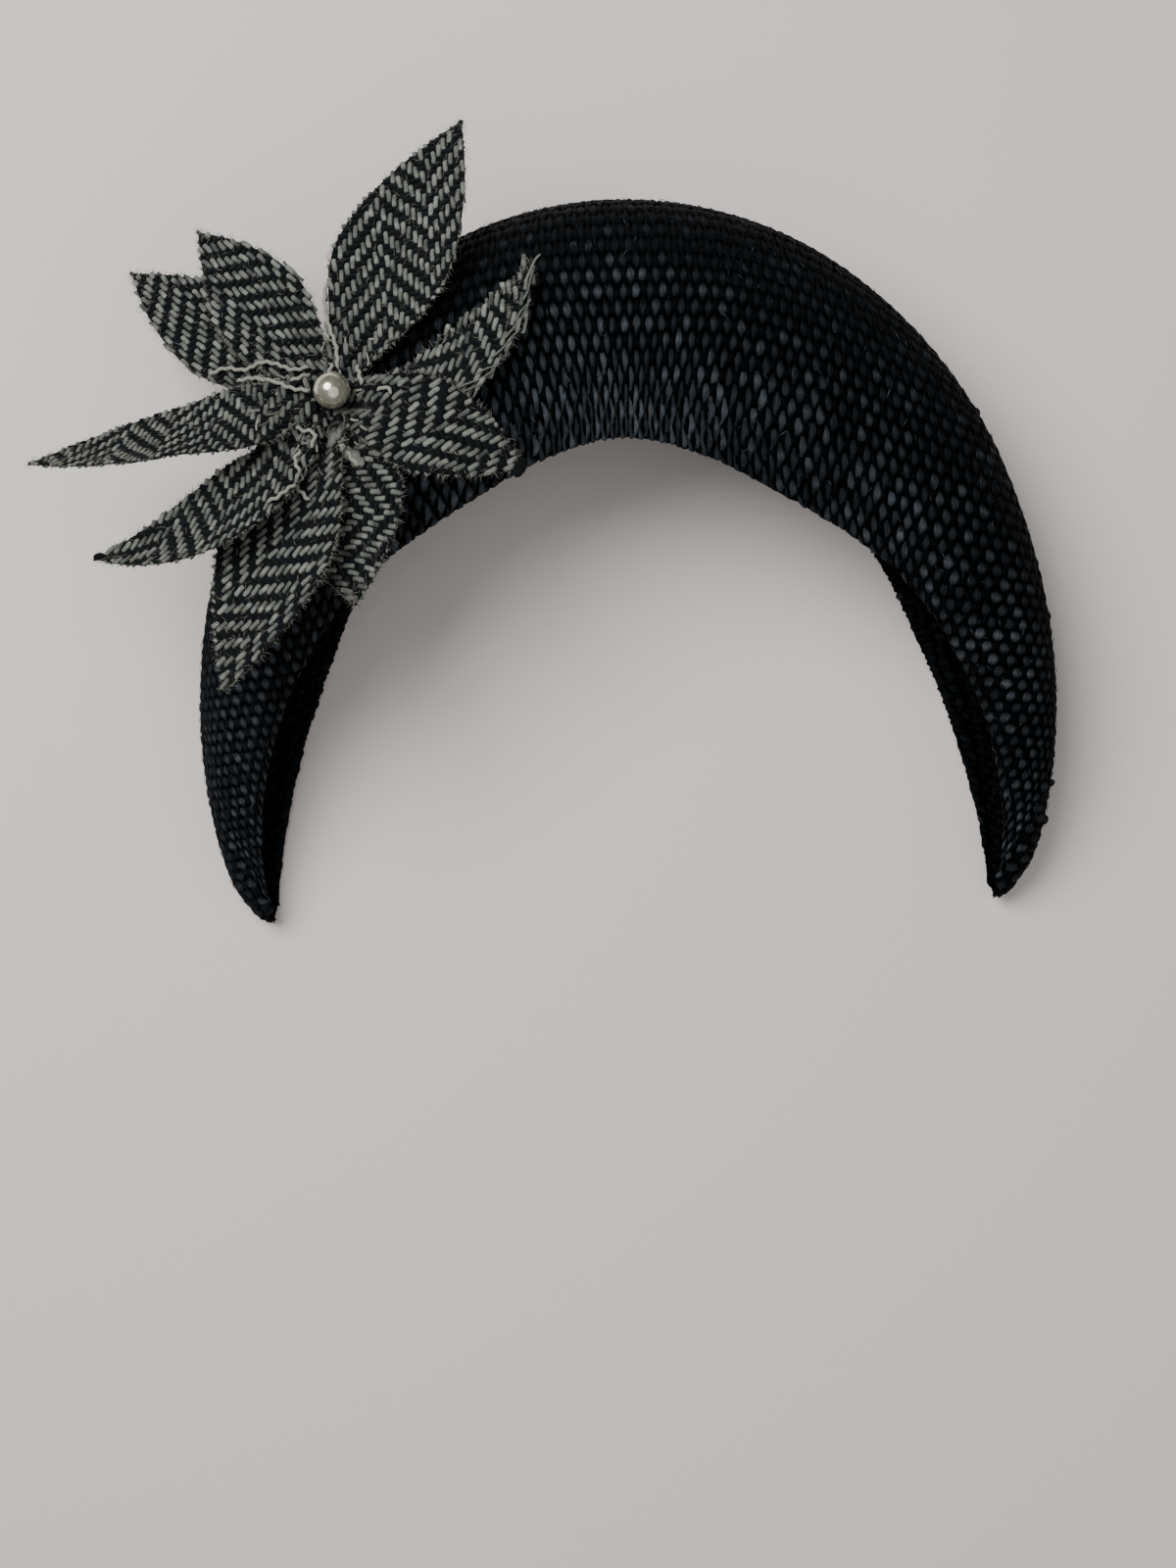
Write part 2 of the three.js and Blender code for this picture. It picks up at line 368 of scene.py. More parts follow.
@dataclass(frozen=True)
class ThreadFinish:
    """A thread or strand that is dyed, with fine lines along it."""

    name: str  # what the material is
    dark: str  # colour where the tone is 0
    light: str  # colour where the tone is 1
    roughness: float
    roughness_spread: float  # how far the roughness goes up and down
    ior: float
    shine: float  # level of the mirror-like part, 0.5 being that of a clean polished face
    line: float  # width of a fine line, in millimetres
    line_length: float  # length of a fine line, in millimetres
    depth: float  # how deep the lines look, in millimetres
    streak: float  # how far the fine lines change the tone, as a share of it
    twist: float = 0.0  # turn of the lines about the thread, as a slope
    sheen: float = 0.0  # weight of the soft shine of fibres

    def material(self) -> bpy.types.Material:
        """Make the material from its nodes."""
        material, tree = new_material(self.name)
        lie = add_node(tree, "Attribute", {"attribute_name": "lie"})
        tone = add_node(tree, "Attribute", {"attribute_name": "tone"})
        apart = add_node(tree, "SeparateXYZ", links={"Vector": lie.outputs["Vector"]})
        across, up, along = apart.outputs
        turning = {"operation": "MULTIPLY_ADD", 1: self.twist}
        slant = add_node(tree, "Math", turning, {0: along, 2: across})
        turned = add_node(tree, "CombineXYZ", links={"X": slant.outputs[0], "Y": up, "Z": along})
        stretch = {"vector_type": "POINT", "Scale": (1 / self.line, 1 / self.line, 1 / self.line_length)}
        scaled = add_node(tree, "Mapping", stretch, {"Vector": turned.outputs["Vector"]})
        grain = {"Scale": 1.0, "Detail": 2.0, "Roughness": 0.6}
        lines = add_node(tree, "TexNoise", grain, {"Vector": scaled.outputs["Vector"]}).outputs["Fac"]
        streaked, rough = (
            add_node(
                tree,
                "MapRange",
                {"From Min": 0.3, "From Max": 0.7, "To Min": middle - spread, "To Max": middle + spread},
                {"Value": lines},
            )
            for middle, spread in ((1, self.streak), (self.roughness, self.roughness_spread))
        )
        clamped = {"operation": "MULTIPLY", "use_clamp": True}
        mixed = add_node(tree, "Math", clamped, {0: tone.outputs["Fac"], 1: streaked.outputs["Result"]})
        colour = add_node(tree, "ValToRGB", links={"Fac": mixed.outputs["Value"]})
        for element, end in zip(colour.color_ramp.elements, (self.dark, self.light)):
            element.color = linear(end)
        bump = add_node(tree, "Bump", {"Strength": 1.0, "Distance": self.depth * MM}, {"Height": lines})
        surface = add_node(
            tree,
            "BsdfPrincipled",
            {
                "IOR": self.ior,
                "Specular IOR Level": self.shine,
                "Sheen Weight": self.sheen,
                "Sheen Roughness": 0.5,
            },
            {
                "Base Color": colour.outputs["Color"],
                "Roughness": rough.outputs["Result"],
                "Normal": bump.outputs["Normal"],
            },
        )
        add_node(tree, "OutputMaterial", links={"Surface": surface.outputs["BSDF"]})
        return material


@dataclass(frozen=True)
class CoatedBead:
    """A moulded bead under a pearl coating, whose lustre comes from thin clear layers."""

    name: str = "pearl coating on a moulded bead"
    deep: str = "#aba892"  # colour between the brighter patches of the coating
    pale: str = "#d8d5c2"  # colour of the brighter patches
    ramp: tuple[float, float] = (0.35, 0.65)  # where the noise reaches each colour
    roughness: tuple[float, float] = (0.12, 0.25)  # least and greatest, under the clear coat
    patch: float = 2.2  # size of a patch, in millimetres

    def material(self) -> bpy.types.Material:
        """Make the material from its nodes."""
        material, tree = new_material(self.name)
        lie = add_node(tree, "Attribute", {"attribute_name": "lie"})
        cloud = {"Scale": 1 / self.patch, "Detail": 3.0}
        patches = add_node(tree, "TexNoise", cloud, {"Vector": lie.outputs["Vector"]}).outputs["Fac"]
        colour = add_node(tree, "ValToRGB", links={"Fac": patches})
        for element, place, end in zip(colour.color_ramp.elements, self.ramp, (self.deep, self.pale)):
            element.position = place
            element.color = linear(end)
        low, high = self.roughness
        rough = add_node(tree, "MapRange", {"To Min": low, "To Max": high}, {"Value": patches})
        surface = add_node(
            tree,
            "BsdfPrincipled",
            {"IOR": 1.53, "Metallic": 0.75, "Coat Weight": 1.0, "Coat Roughness": 0.12, "Coat IOR": 1.6},
            {"Base Color": colour.outputs["Color"], "Roughness": rough.outputs["Result"]},
        )
        add_node(tree, "OutputMaterial", links={"Surface": surface.outputs["BSDF"]})
        return material


# Dyed straw, split and woven flat: blue-black, drawn lighter where a strand lies on top as a painted sheen.
# The lines along it are its fibres, drawn coarser than they are so that they show
STRAW = ThreadFinish(
    name="dyed straw strand, woven", dark="#010203", light="#4a5056", roughness=0.55, roughness_spread=0.16,
    ior=1.5, shine=0.012, line=0.3, line_length=2.2, depth=0.1, streak=0.55,
)
# The same straw where stiffening has filled the gaps: darker and rougher
STRAW_GROUND = ThreadFinish(
    name="stiffening between straw strands", dark="#010101", light="#020304", roughness=0.8,
    roughness_spread=0.1, ior=1.48, shine=0.02, line=0.5, line_length=1.0, depth=0.05, streak=0.3,
)
# Spun wool, plied: matt, with a soft shine of loose fibres and the slant of its twist.
# A line stands for several fibres, because single ones are too fine to show
CREAM_WOOL = ThreadFinish(
    name="undyed wool yarn, spun", dark="#343834", light="#8b8f86", roughness=0.95, roughness_spread=0.05,
    ior=1.54, shine=0.2, line=0.28, line_length=1.6, depth=0.14, streak=0.6, twist=0.9, sheen=0.08,
)
# The same yarn dyed: nearly black, with little of the soft shine
NAVY_WOOL = replace(
    CREAM_WOOL, name="navy-black wool yarn, spun", dark="#040607", light="#11171a", shine=0.15, sheen=0.02
)
# Both yarns where they have come apart: thin fibres, too fine to show much of their twist
LOOSE_WOOL = replace(
    CREAM_WOOL, name="loose wool fibre, frayed", dark="#050708", light="#96958a", roughness_spread=0.04,
    line=0.1, line_length=1.0, depth=0.02, streak=0.1, twist=0.4,
)
# Glue from a hot gun, set: cloudy and smooth
SET_GLUE = ThreadFinish(
    name="set glue, cloudy", dark="#33362f", light="#565a52", roughness=0.45, roughness_spread=0.08,
    ior=1.49, shine=0.25, line=0.9, line_length=2.0, depth=0.05, streak=0.3,
)


@dataclass
class BandShape:
    """The blocked band's surface, from the front hem over the crest to the rear hem."""

    # Crown to tip: angle, radius of the crest, of the front rim and of the rear rim, and depth
    sections: Table = (
        (90, 110.0, 51.5, 68.0, 68.0),
        (70, 108.5, 50.5, 67.5, 66.5),
        (52, 105.0, 51.5, 66.5, 61.5),
        (36, 102.0, 56.5, 66.5, 55.0),
        (20, 99.5, 65.0, 68.0, 48.0),
        (6, 99.5, 73.0, 71.0, 41.0),
        (-7, 101.0, 82.0, 77.5, 33.0),
        (-17, 103.0, 89.5, 85.0, 25.0),
        (-25, 104.5, 96.0, 93.0, 16.5),
        (-31, 103.5, 99.5, 98.5, 9.0),
    )
    foremost: float = 0.32  # foremost line, as a share of the way from the front rim to the crest
    rearmost: float = 0.4  # rearmost line, as a share of the way from the rear rim to the crest
    half_rest: float = 0.06  # half the strip that it lies on, as a share of the same way
    lip_drop: float = 0.15  # fall from the foremost line to the front rim, as a share of the depth
    rear_lift: float = 0.06  # rise from the rearmost line to the rear rim, as a share of the depth
    roundness: float = 2.2  # power of the round sides, 2 being an ellipse
    inset: float = 0.62  # middle of the woven wall under the outside
    hem_turn: float = 1.1  # radius of the turned edge
    hem_run: float = 6.0  # how far the edge goes back inside
    hem_room: float = 30.0  # front rim to crest, where there is room for the full hem
    hem_least: float = 0.15  # share of the hem that is left at the tips
    tip_from: float = -29.4  # angle from which a tip is rounded off
    tip_least: float = 0.03  # share of the section that is left at the very tip
    rear_stretch: float = 0.5  # cloth that covers a millimetre of the back, drawn out by blocking
    stations: int = 243  # angles in the table
    steps: int = 90  # places in the table on each side of the crest

    def __post_init__(self) -> None:
        """Fill the tables that the surface is read from."""
        self.tip = self.sections[-1][0]
        self.angles = np.linspace(self.tip, 180 - self.tip, self.stations)
        columns = self._columns(self.angles)
        self.crest = columns[:, 0]
        places = np.linspace(-1, 1, 2 * self.steps + 1)
        table = np.empty((self.stations, len(places), 2))
        self.front_length = np.empty(self.stations)
        self.rear_length = np.empty(self.stations)
        rim_arc = np.empty(self.stations)
        for i, (angle, column) in enumerate(zip(self.angles, columns)):
            line, crest_at, rim_at = self._section(column)
            line = self._round_tip(line, angle)
            arc = distances(line)
            arc -= arc[crest_at]
            self.front_length[i] = -arc[0]
            self.rear_length[i] = arc[-1]
            rim_arc[i] = max(-arc[rim_at], 0.5)
            read = np.where(places < 0, places * self.front_length[i], places * self.rear_length[i])
            for k in (0, 1):
                table[i, :, k] = np.interp(read, arc, line[:, k])
        self.flatten = (columns[:, 0] - columns[:, 1]) / rim_arc
        self.rim_place = rim_arc / self.front_length
        self.table = np.concatenate([table, self._normals(table)], axis=-1)

    def _columns(self, angles: Array) -> Array:
        """Read the sections at any angle, the far half mirrored.

        Args:
            angles: Angles round the band, in degrees.

        Returns:
            Crest, front rim, rear rim and depth for each angle.
        """
        far = np.array(self.sections[1:])
        far[:, 0] = 180 - far[:, 0]
        rows = np.concatenate([np.array(self.sections[::-1]), far])
        at = rows[:, 0]
        values = rows[:, 1:]
        slopes = np.diff(values, axis=0) / np.diff(at)[:, None]
        tangents = np.zeros_like(values)
        tangents[1:-1] = 0.5 * (slopes[:-1] + slopes[1:])
        i = np.clip(np.searchsorted(at, angles) - 1, 0, len(at) - 2)
        width = (at[i + 1] - at[i])[:, None]
        t = (angles - at[i])[:, None] / width
        return hermite(values[i], width * tangents[i], values[i + 1], width * tangents[i + 1], t)

    def _section(self, column: Array) -> tuple[Array, int, int]:
        """Draw one section with both hems turned under.

        Args:
            column: Crest, front rim, rear rim and depth.

        Returns:
            Points as radius and height, and which of them are the crest and the front rim.
        """
        crest, front, rear, depth = column
        foremost = front + self.foremost * (crest - front)
        rearmost = rear + self.rearmost * (crest - rear)
        half_rest = self.half_rest * (crest - rear)
        rest_in = rearmost - half_rest
        rest_out = rearmost + half_rest
        middle = 0.5 * depth
        back = np.linspace(1, 0, 24, endpoint=False)
        lip = [foremost - back * (foremost - front), depth * (1 - self.lip_drop * back**2)]
        turn = np.radians(np.linspace(0, 90, 48))
        out = np.cos(turn) ** (2 / self.roundness)
        rise = np.sin(turn) ** (2 / self.roundness)
        over = [foremost + out[::-1] * (crest - foremost), middle + rise[::-1] * (depth - middle)]
        under = [rest_out + out[1:] * (crest - rest_out), middle * (1 - rise[1:])]
        on = np.linspace(0, 1, 20)
        last = [rest_in - on * (rest_in - rear), depth * self.rear_lift * on**2]
        outside = np.concatenate([lip, over, under, last], axis=1).T
        along = unit(np.gradient(outside, axis=0))
        inward = np.stack([along[:, 1], -along[:, 0]], axis=1)
        share = min(1.0, max(self.hem_least, (crest - front) / self.hem_room))
        line = outside + self.inset * min(1.0, 2 * share) * inward
        front_hem = self._hem(line[::-1], inward[::-1], share)
        whole = np.concatenate([front_hem[::-1], line[2:-2], self._hem(line, inward, share)])
        rim_at = len(front_hem)
        return whole, rim_at + len(back) + len(turn) - 3, rim_at

    def _hem(self, line: Array, inward: Array, share: float) -> Array:
        """Turn the end of a section under.

        Args:
            line: Points that run to the edge.
            inward: Direction into the wall at each of them.
            share: How much of the full hem there is room for.

        Returns:
            Points of the hem, from the edge to the inside.
        """
        radius = self.hem_turn * share
        ahead = unit(line[-3] - line[-5])
        turn = np.radians(np.linspace(15, 180, 12))[:, None]
        bend = line[-3] + radius * (ahead * np.sin(turn) + inward[-3] * (1 - np.cos(turn)))
        reached = np.searchsorted(distances(line[::-1]), self.hem_run * share) - 1
        count = int(np.clip(reached, 4, len(line) // 3))
        back = (line + 2 * radius * inward)[::-1][4 : 4 + count]
        return np.concatenate([bend, back])

    def _round_tip(self, line: Array, angle: float) -> Array:
        """Draw a section together near a tip.

        Args:
            line: Points of the section.
            angle: Where it is.

        Returns:
            The points, moved to the section's middle at the very tip.
        """
        from_tip = min(angle, 180 - angle)
        on = float(np.clip((self.tip_from - from_tip) / (self.tip_from - self.tip), 0, 1))
        middle = 0.5 * (line.min(axis=0) + line.max(axis=0))
        return middle + (line - middle) * max(self.tip_least, math.sqrt(1 - on * on))

    def _normals(self, table: Array) -> Array:
        """Work out the outward normals over the table.

        Args:
            table: Radius and height by angle and place.

        Returns:
            Normals as parts along the radius, round the band and up.
        """
        by_angle = np.gradient(table, np.radians(self.angles), axis=0)
        by_place = np.gradient(table, axis=1)
        flat = np.zeros(table.shape[:2])
        round_it = np.stack([by_angle[..., 0], table[..., 0], by_angle[..., 1]], axis=-1)
        over_it = np.stack([by_place[..., 0], flat, by_place[..., 1]], axis=-1)
        return unit(np.cross(over_it, round_it))

    def read(self, angle: Array, place: Array) -> tuple[Array, Array]:
        """Read points and normals of the surface.

        Args:
            angle: Angles round the band, in degrees.
            place: Places from -1 at the front hem over 0 at the crest to 1 at the rear hem.

        Returns:
            Points and outward normals.
        """
        last = self.stations - 1
        i = np.clip((angle - self.tip) / (180 - 2 * self.tip) * last, 0, last - 0.001)
        j = np.clip((place + 1) * self.steps, 0, 2 * self.steps - 0.001)
        i0 = i.astype(int)
        j0 = j.astype(int)
        u = (i - i0)[..., None]
        v = (j - j0)[..., None]
        near = self.table[i0, j0] * (1 - v) + self.table[i0, j0 + 1] * v
        far = self.table[i0 + 1, j0] * (1 - v) + self.table[i0 + 1, j0 + 1] * v
        radius, height, out, around, up = np.moveaxis(near * (1 - u) + far * u, -1, 0)
        cosine = np.cos(np.radians(angle))
        sine = np.sin(np.radians(angle))
        points = np.stack([radius * cosine, radius * sine, height], axis=-1)
        normals = np.stack([out * cosine - around * sine, out * sine + around * cosine, up], axis=-1)
        return points, unit(normals)

    def find(self, across: Array, up: Array) -> tuple[Array, Array, Array, Array]:
        """Find where a place of the flat straw cloth lies on the band.

        Args:
            across: Place across the cloth, as wide as in the front view, in millimetres.
            up: Place up the cloth, in millimetres.

        Returns:
            Angle and place on the band, how far down the front it is (1 at the rim, below 0 on the back)
            and whether the band has it.
        """
        angle = np.degrees(np.arctan2(up, across))
        angle = np.where(angle < -90, angle + 360, angle)
        tables = (self.crest, self.flatten, self.front_length, self.rear_length, self.rim_place)
        crest, flatten, front, rear, rim = (np.interp(angle, self.angles, table) for table in tables)
        arc = np.hypot(across, up) - crest
        place = np.where(arc < 0, arc / flatten / front, arc / self.rear_stretch / rear)
        inside = (angle >= self.tip) & (angle <= 180 - self.tip) & (np.abs(place) <= 1)
        return angle, np.clip(place, -1, 1), -place / rim, inside


class StrandWay(Enum):
    """Way that a straw strand runs in the cloth."""

    UPRIGHT = "upright"
    LEVEL = "level"


@dataclass
class StrawBand:
    """The band of woven straw: two ways of strands over and under each other, and what fills the gaps."""

    shape: BandShape  # the surface that the cloth is blocked to
    # Place across from the middle, and spacing of the upright strands there
    across: Table = (
        (-140, 1.2), (-88, 1.25), (-55, 1.2), (-30, 1.25), (0, 1.3), (30, 1.25), (55, 1.2), (72, 1.6),
        (88, 1.75), (100, 1.7), (140, 1.6),
    )
    # Height, and spacing of the level strands there
    up: Table = (
        (-70, 2.3), (0, 2.45), (34, 2.5), (52, 2.8), (60, 2.9), (68, 2.8), (80, 2.9), (90, 3.6),
        (108, 3.8), (116, 2.2), (180, 2.2),
    )
    across_reach: tuple[float, float] = (-150, 150)  # edges of the flat cloth
    up_reach: tuple[float, float] = (-75, 190)  # its lower and upper end
    sag: float = 0.45  # how steeply the level strands fall at their steepest
    sag_to: float = 104.0  # distance from the middle where they are level again
    fan: float = 0.14  # spread of the upright strands downwards, in parts of a hundred a millimetre
    fan_at: float = 48.0  # distance from the middle where they spread most
    fan_from: float = 90.0  # height where they begin to
    gather: float = 0.25  # how much closer they come at the middle of the rim, as a share
    gather_to: float = 82.0  # distance from the middle of the arc where they begin to
    gather_run: float = 30.0  # distance over which they do
    gather_wide: float = 28.0  # how far to each side of the middle they do
    tuck: float = 2.1e-5  # how fast they turn in with the arms, for each square millimetre of height
    tuck_from: float = 20.0  # height where they begin to
    wave: float = 0.36  # how far a strand goes over and under
    wave_power: float = 0.75  # below 1, strands stay long on top and go under steeply
    half_thick: float = 0.23  # half the thickness of a strand
    pinched: float = 0.28  # half an upright strand where it goes under, as a share of the spacing
    swelled: float = 0.63  # the same where it lies on top
    swell_power: float = 1.5  # above 1, floats have narrower ends
    width_spread: float = 0.3  # how far the width differs from float to float, as a share
    level_half: float = 0.48  # half the width of a level strand, as a share of the spacing
    level_sunk: float = 0.25  # how far the level strands lie below the middle at the crest, in waves
    drift: float = 0.07  # how far a strand wanders from its line, as a share of the spacing
    drift_pace: tuple[float, float] = (0.83, 2.1)  # pace of its two waves, in radians a crossing
    ragged: float = 0.09  # spread of its width from place to place, as a share
    tilt: float = 0.35  # how far a float turns on its own line, in radians
    tilt_half: float = 0.8  # half width up to which a turn lifts its edge
    net_half: float = 0.36  # half a strand that crosses the rim, as a share of the spacing
    net_from: tuple[float, float] = (0.55, 1.0)  # how far down the front those come on top, first and most
    net_most: float = 0.6  # how much of the going over and under they have lost there
    net_lift: float = 0.8  # how far they lie over the level strands, in waves
    sway: float = 0.3  # how far they go from side to side and touch, as a share of the spacing
    crest_from: tuple[float, float] = (0.2, 0.65)  # how far down the front the crest's look has gone
    crest_up: float = 0.1  # how much further down that is at the crown
    crest_flat: float = 0.5  # how much of the going over and under is lost at the crest
    # Tone of a float: the least, what chance adds to it, and the power of the chance. The brightest floats
    # stand for painted glints
    front_float: tuple[float, float, float] = (0.15, 0.48, 1.7)
    # Floats at the crest are drawn darker: painted shade where the crest turns away from the light
    crest_float: tuple[float, float, float] = (0.03, 0.25, 7)
    # Floats that cross the rim are drawn lighter: a painted reflection of light from below the rim
    net_float: tuple[float, float, float] = (0.27, 0.9, 2)
    tone_power: float = 1.9  # above 1, floats have darker ends, painted shade where they dive under
    under_tone: float = 0.02  # lightness of a strand that goes under
    crest_tone: float = 0.03  # what is added at the crest and the back
    painted_left_light: float = 0.06  # what is added on the left arm: painted light, falling from the left
    painted_left_light_from: tuple[float, float] = (50, 90)  # where that begins and is full
    patchy: float = 0.25  # how far the dye goes lighter and darker from patch to patch
    patch: tuple[float, float, float] = (8.7, 6.3, 21.0)  # length of a patch across, up and on the slant
    lit: tuple[float, float] = (1.2, 0.45)  # painted light from the left: its strength at the left, and its fall to the right
    lit_to: tuple[float, float] = (-10, 40)  # where it falls
    # Angle round the band and place over it of each knot in the strands
    knots: Table = (
        (90.0, 0.02), (79.5, 0.0), (69.0, 0.02), (41.75, 0.0), (7.5, -0.02), (-16.5, 0.0), (-23.0, 0.0),
    )
    small_knots: int = 26  # knots at any place
    knot_half: float = 0.42  # half the thickness of a knotted strand
    knot_size: tuple[float, float] = (0.55, 0.85)  # radius of a knot
    knot_tone: float = 0.2
    sliver_count: int = 700  # split bits of straw on the front
    sliver_length: tuple[float, float] = (0.8, 2.2)
    sliver_half: tuple[float, float] = (0.1, 0.22)  # half the width of a sliver
    sliver_thick: float = 0.07  # half its thickness
    sliver_at: float = 0.6  # its height over the middle of the weave
    sliver_tone: tuple[float, float] = (0.1, 0.85)  # before the power that makes most of them dark; the bright few are painted glints
    sliver_power: float = 1.7
    ground_thick: float = 0.25  # stiffening in the middle of the weave

    def __post_init__(self) -> None:
        """Count the strands across and up the cloth."""
        self.rulers = (ruler(self.across, *self.across_reach), ruler(self.up, *self.up_reach))

    def lay(self, column: Array, row: Array) -> tuple[Array, Array, Array, Array]:
        """Lay places of the weave on the band.

        Args:
            column: Numbers across the weave, whole on an upright strand.
            row: Numbers up the weave, whole on a level strand.

        Returns:
            Points, normals, how far down the front they are and whether the band has them.
        """
        (across_at, across_number), (up_at, up_number) = self.rulers
        flat_across = np.interp(column, across_number, across_at)
        flat_up = np.interp(row, up_number, up_at)
        far_out = np.abs(flat_across / self.fan_at)
        spread = self.fan * flat_across * np.clip(far_out * (2 - far_out), 0, 1) / 100
        close = np.exp(-((flat_across / self.gather_wide) ** 2))
        across = flat_across
        for _ in range(8):
            far = np.minimum(np.abs(across), self.sag_to)
            wave = self.sag_to / (2 * FULL_TURN) * np.sin(FULL_TURN * far / self.sag_to)
            up = flat_up - self.sag * (far / 2 - wave)
            drawn = self.gather * smoothstep(self.gather_to - np.hypot(across, up), 0, self.gather_run)
            tucked = self.tuck * np.minimum(up - self.tuck_from, 0) ** 2
            across = flat_across * (1 - drawn * close - tucked) + spread * (self.fan_from - up)
        angle, place, down, inside = self.shape.find(across, up)
        points, normals = self.shape.read(angle, place)
        return points, normals, down, inside

    def strands(self, way: StrandWay, rng: Rng) -> tuple[Joined, Joined]:
        """Weave the strands of one way.

        Args:
            way: Which way they run.
            rng: Source of small differences between strands.

        Returns:
            The strands of the front and those of the back.
        """
        upright = way is StrandWay.UPRIGHT
        (_, number), (_, other) = self.rulers if upright else self.rulers[::-1]
        sides, fine = (6, 4) if upright else (4, 3)
        narrow, broad = (self.pinched, self.swelled) if upright else (self.level_half, self.level_half)
        along = np.arange(math.floor(other[0]) * fine, math.ceil(other[-1]) * fine + 1) / fine
        crossings = along[::fine]
        made = (Joined(), Joined())
        for line in range(math.ceil(number[0]), math.floor(number[-1]) + 1):
            turn = np.cos(math.pi * along) * (1 if line % 2 == 0 else -1)
            over = np.sign(turn) * np.abs(turn) ** self.wave_power * (1 if upright else -1)
            on_top = np.clip(over, 0, 1)
            phase = rng.uniform(0, FULL_TURN, 2)
            slow, fast = (np.sin(along * pace + start) for pace, start in zip(self.drift_pace, phase))
            draws = rng.uniform(0, 1, (2, len(crossings)))
            chance, tilt = (np.interp(along, crossings, draw) for draw in draws)
            ragged = rng.normal(0, self.ragged, len(along))
            middle = line + self.drift * (slow + fast)
            points, _, down, _ = self.lay(*((middle, along) if upright else (along, middle)))
            to_crown = np.abs(points[:, 1]) / np.hypot(points[:, 0], points[:, 1])
            at_rim = self.net_most * smoothstep(down, *self.net_from) * to_crown
            net = at_rim if upright else np.zeros_like(at_rim)
            middle = middle + self.sway * net * turn * (0.5 + chance)
            half = (narrow + (broad - narrow) * on_top**self.swell_power) * (1 - net) + self.net_half * net
            half = half * (1 + self.width_spread * (chance - 0.5) + ragged)
            edges = (middle, middle - half, middle + half)
            laid = [self.lay(*((edge, along) if upright else (along, edge))) for edge in edges]
            points, normals, down, inside = laid[0]
            crest = 1 - smoothstep(down - self.crest_up * to_crown, *self.crest_from)
            lift = over * (1 - at_rim) * (1 - self.crest_flat * crest)
            if upright:
                lift = lift + self.net_lift * at_rim
            else:
                lift = lift - self.net_lift * at_rim - self.level_sunk * crest
            centre = points + normals * (self.wave * lift)[:, None]
            wide = 0.5 * (laid[2][0] - laid[1][0])
            lean = (self.tilt * (2 * tilt - 1))[:, None]
            reach = np.minimum(np.linalg.norm(wide, axis=1, keepdims=True), self.tilt_half)
            tall = (normals - unit(wide) * lean) * self.half_thick
            wide = wide + normals * reach * lean
            # Upright floats are drawn lighter on top and the level strands stay dark all along: painted
            # sheen and painted shade on one straw
            painted_sheen_share = on_top**self.tone_power if upright else np.zeros_like(on_top)
            tone = self._tones(points, chance, painted_sheen_share * (1 - net), crest, net, to_crown)
            for back in (0, 1):
                for run in runs(inside & ((down < 0) == bool(back))):
                    last = run.stop + int(inside[run.stop : run.stop + 1].any())
                    kept = slice(run.start, last, 2 if back and upright else 1)
                    made[back].sweep(centre[kept], wide[kept], tall[kept], sides, tone[kept])
        return made

    def _tones(
        self, points: Array, chance: Array, top: Array, crest: Array, net: Array, to_crown: Array
    ) -> Array:
        """Work out how light a strand is along its line.

        Args:
            points: Points of the strand.
            chance: Chance of each float to be light.
            top: How far the strand lies on top as a float.
            crest: How far it has the crest's look.
            net: How far it crosses the rim on top.
            to_crown: How near the crown it is, from the arms' 0 to 1.

        Returns:
            The tones.
        """
        floats = (self.front_float, self.crest_float, self.net_float)
        front, high, crossing = (least + more * chance**power for least, more, power in floats)
        x, y, _ = points.T
        wide, tall, slant = self.patch
        patch = 1 + self.patchy * np.sin(x / wide + 1) * np.sin(y / tall + x / slant)
        # Painted light: the straw is drawn lighter at the left and darker to the right of the crown
        lit = self.lit[0] - self.lit[1] * smoothstep(x, *self.lit_to) * to_crown
        tone = (front * (1 - crest) + high * crest) * top + net * crossing
        # Painted light on the left arm
        painted_left_light = self.painted_left_light * smoothstep(-x, *self.painted_left_light_from)
        return np.clip(self.under_tone + self.crest_tone * crest + painted_left_light + tone * patch * lit, 0, 1)

    def ground(self) -> Joined:
        """Make the thin wall of stiffening in the middle of the weave."""
        angles = np.linspace(self.shape.tip, 180 - self.shape.tip, 130)
        points, normals = self.shape.read(*np.meshgrid(angles, np.linspace(-1, 1, 60), indexing="ij"))
        wall = Joined()
        wall.shell(points, points - self.ground_thick * normals, 0.4)
        return wall

    def knot_ends(self, rng: Rng) -> Joined:
        """Make the knots where one strand is tied to the next.

        Args:
            rng: Source of small differences between knots.

        Returns:
            The knots.
        """
        made = Joined()
        turn = np.linspace(0, 1.6 * math.pi, 12)[:, None]
        angles = rng.uniform(-20, 200, self.small_knots)
        places = rng.uniform(-0.5, 0.7, self.small_knots)
        for angle, place in [*self.knots, *zip(angles, places)]:
            points, normals = self.shape.read(np.array([angle, angle + 0.5]), np.array([place, place]))
            out = normals[0]
            if out[2] < 0:
                continue
            side = unit(points[1] - points[0])
            size = rng.uniform(*self.knot_size)
            swing = rng.uniform(0, FULL_TURN)
            first = side * math.cos(swing) + np.cross(out, side) * math.sin(swing)
            second = np.cross(out, first)
            curl = first * np.cos(turn) + (second * 0.5 + out * 0.6) * np.sin(turn)
            path = points[0] + out * (0.4 + 0.2 * turn / math.pi) + size * curl
            ahead = unit(np.gradient(path, axis=0))
            tall = unit(np.cross(ahead, first + 0.31 * out)) * self.knot_half
            made.sweep(path, np.cross(tall, ahead), tall, 6, np.full(len(path), self.knot_tone))
        return made

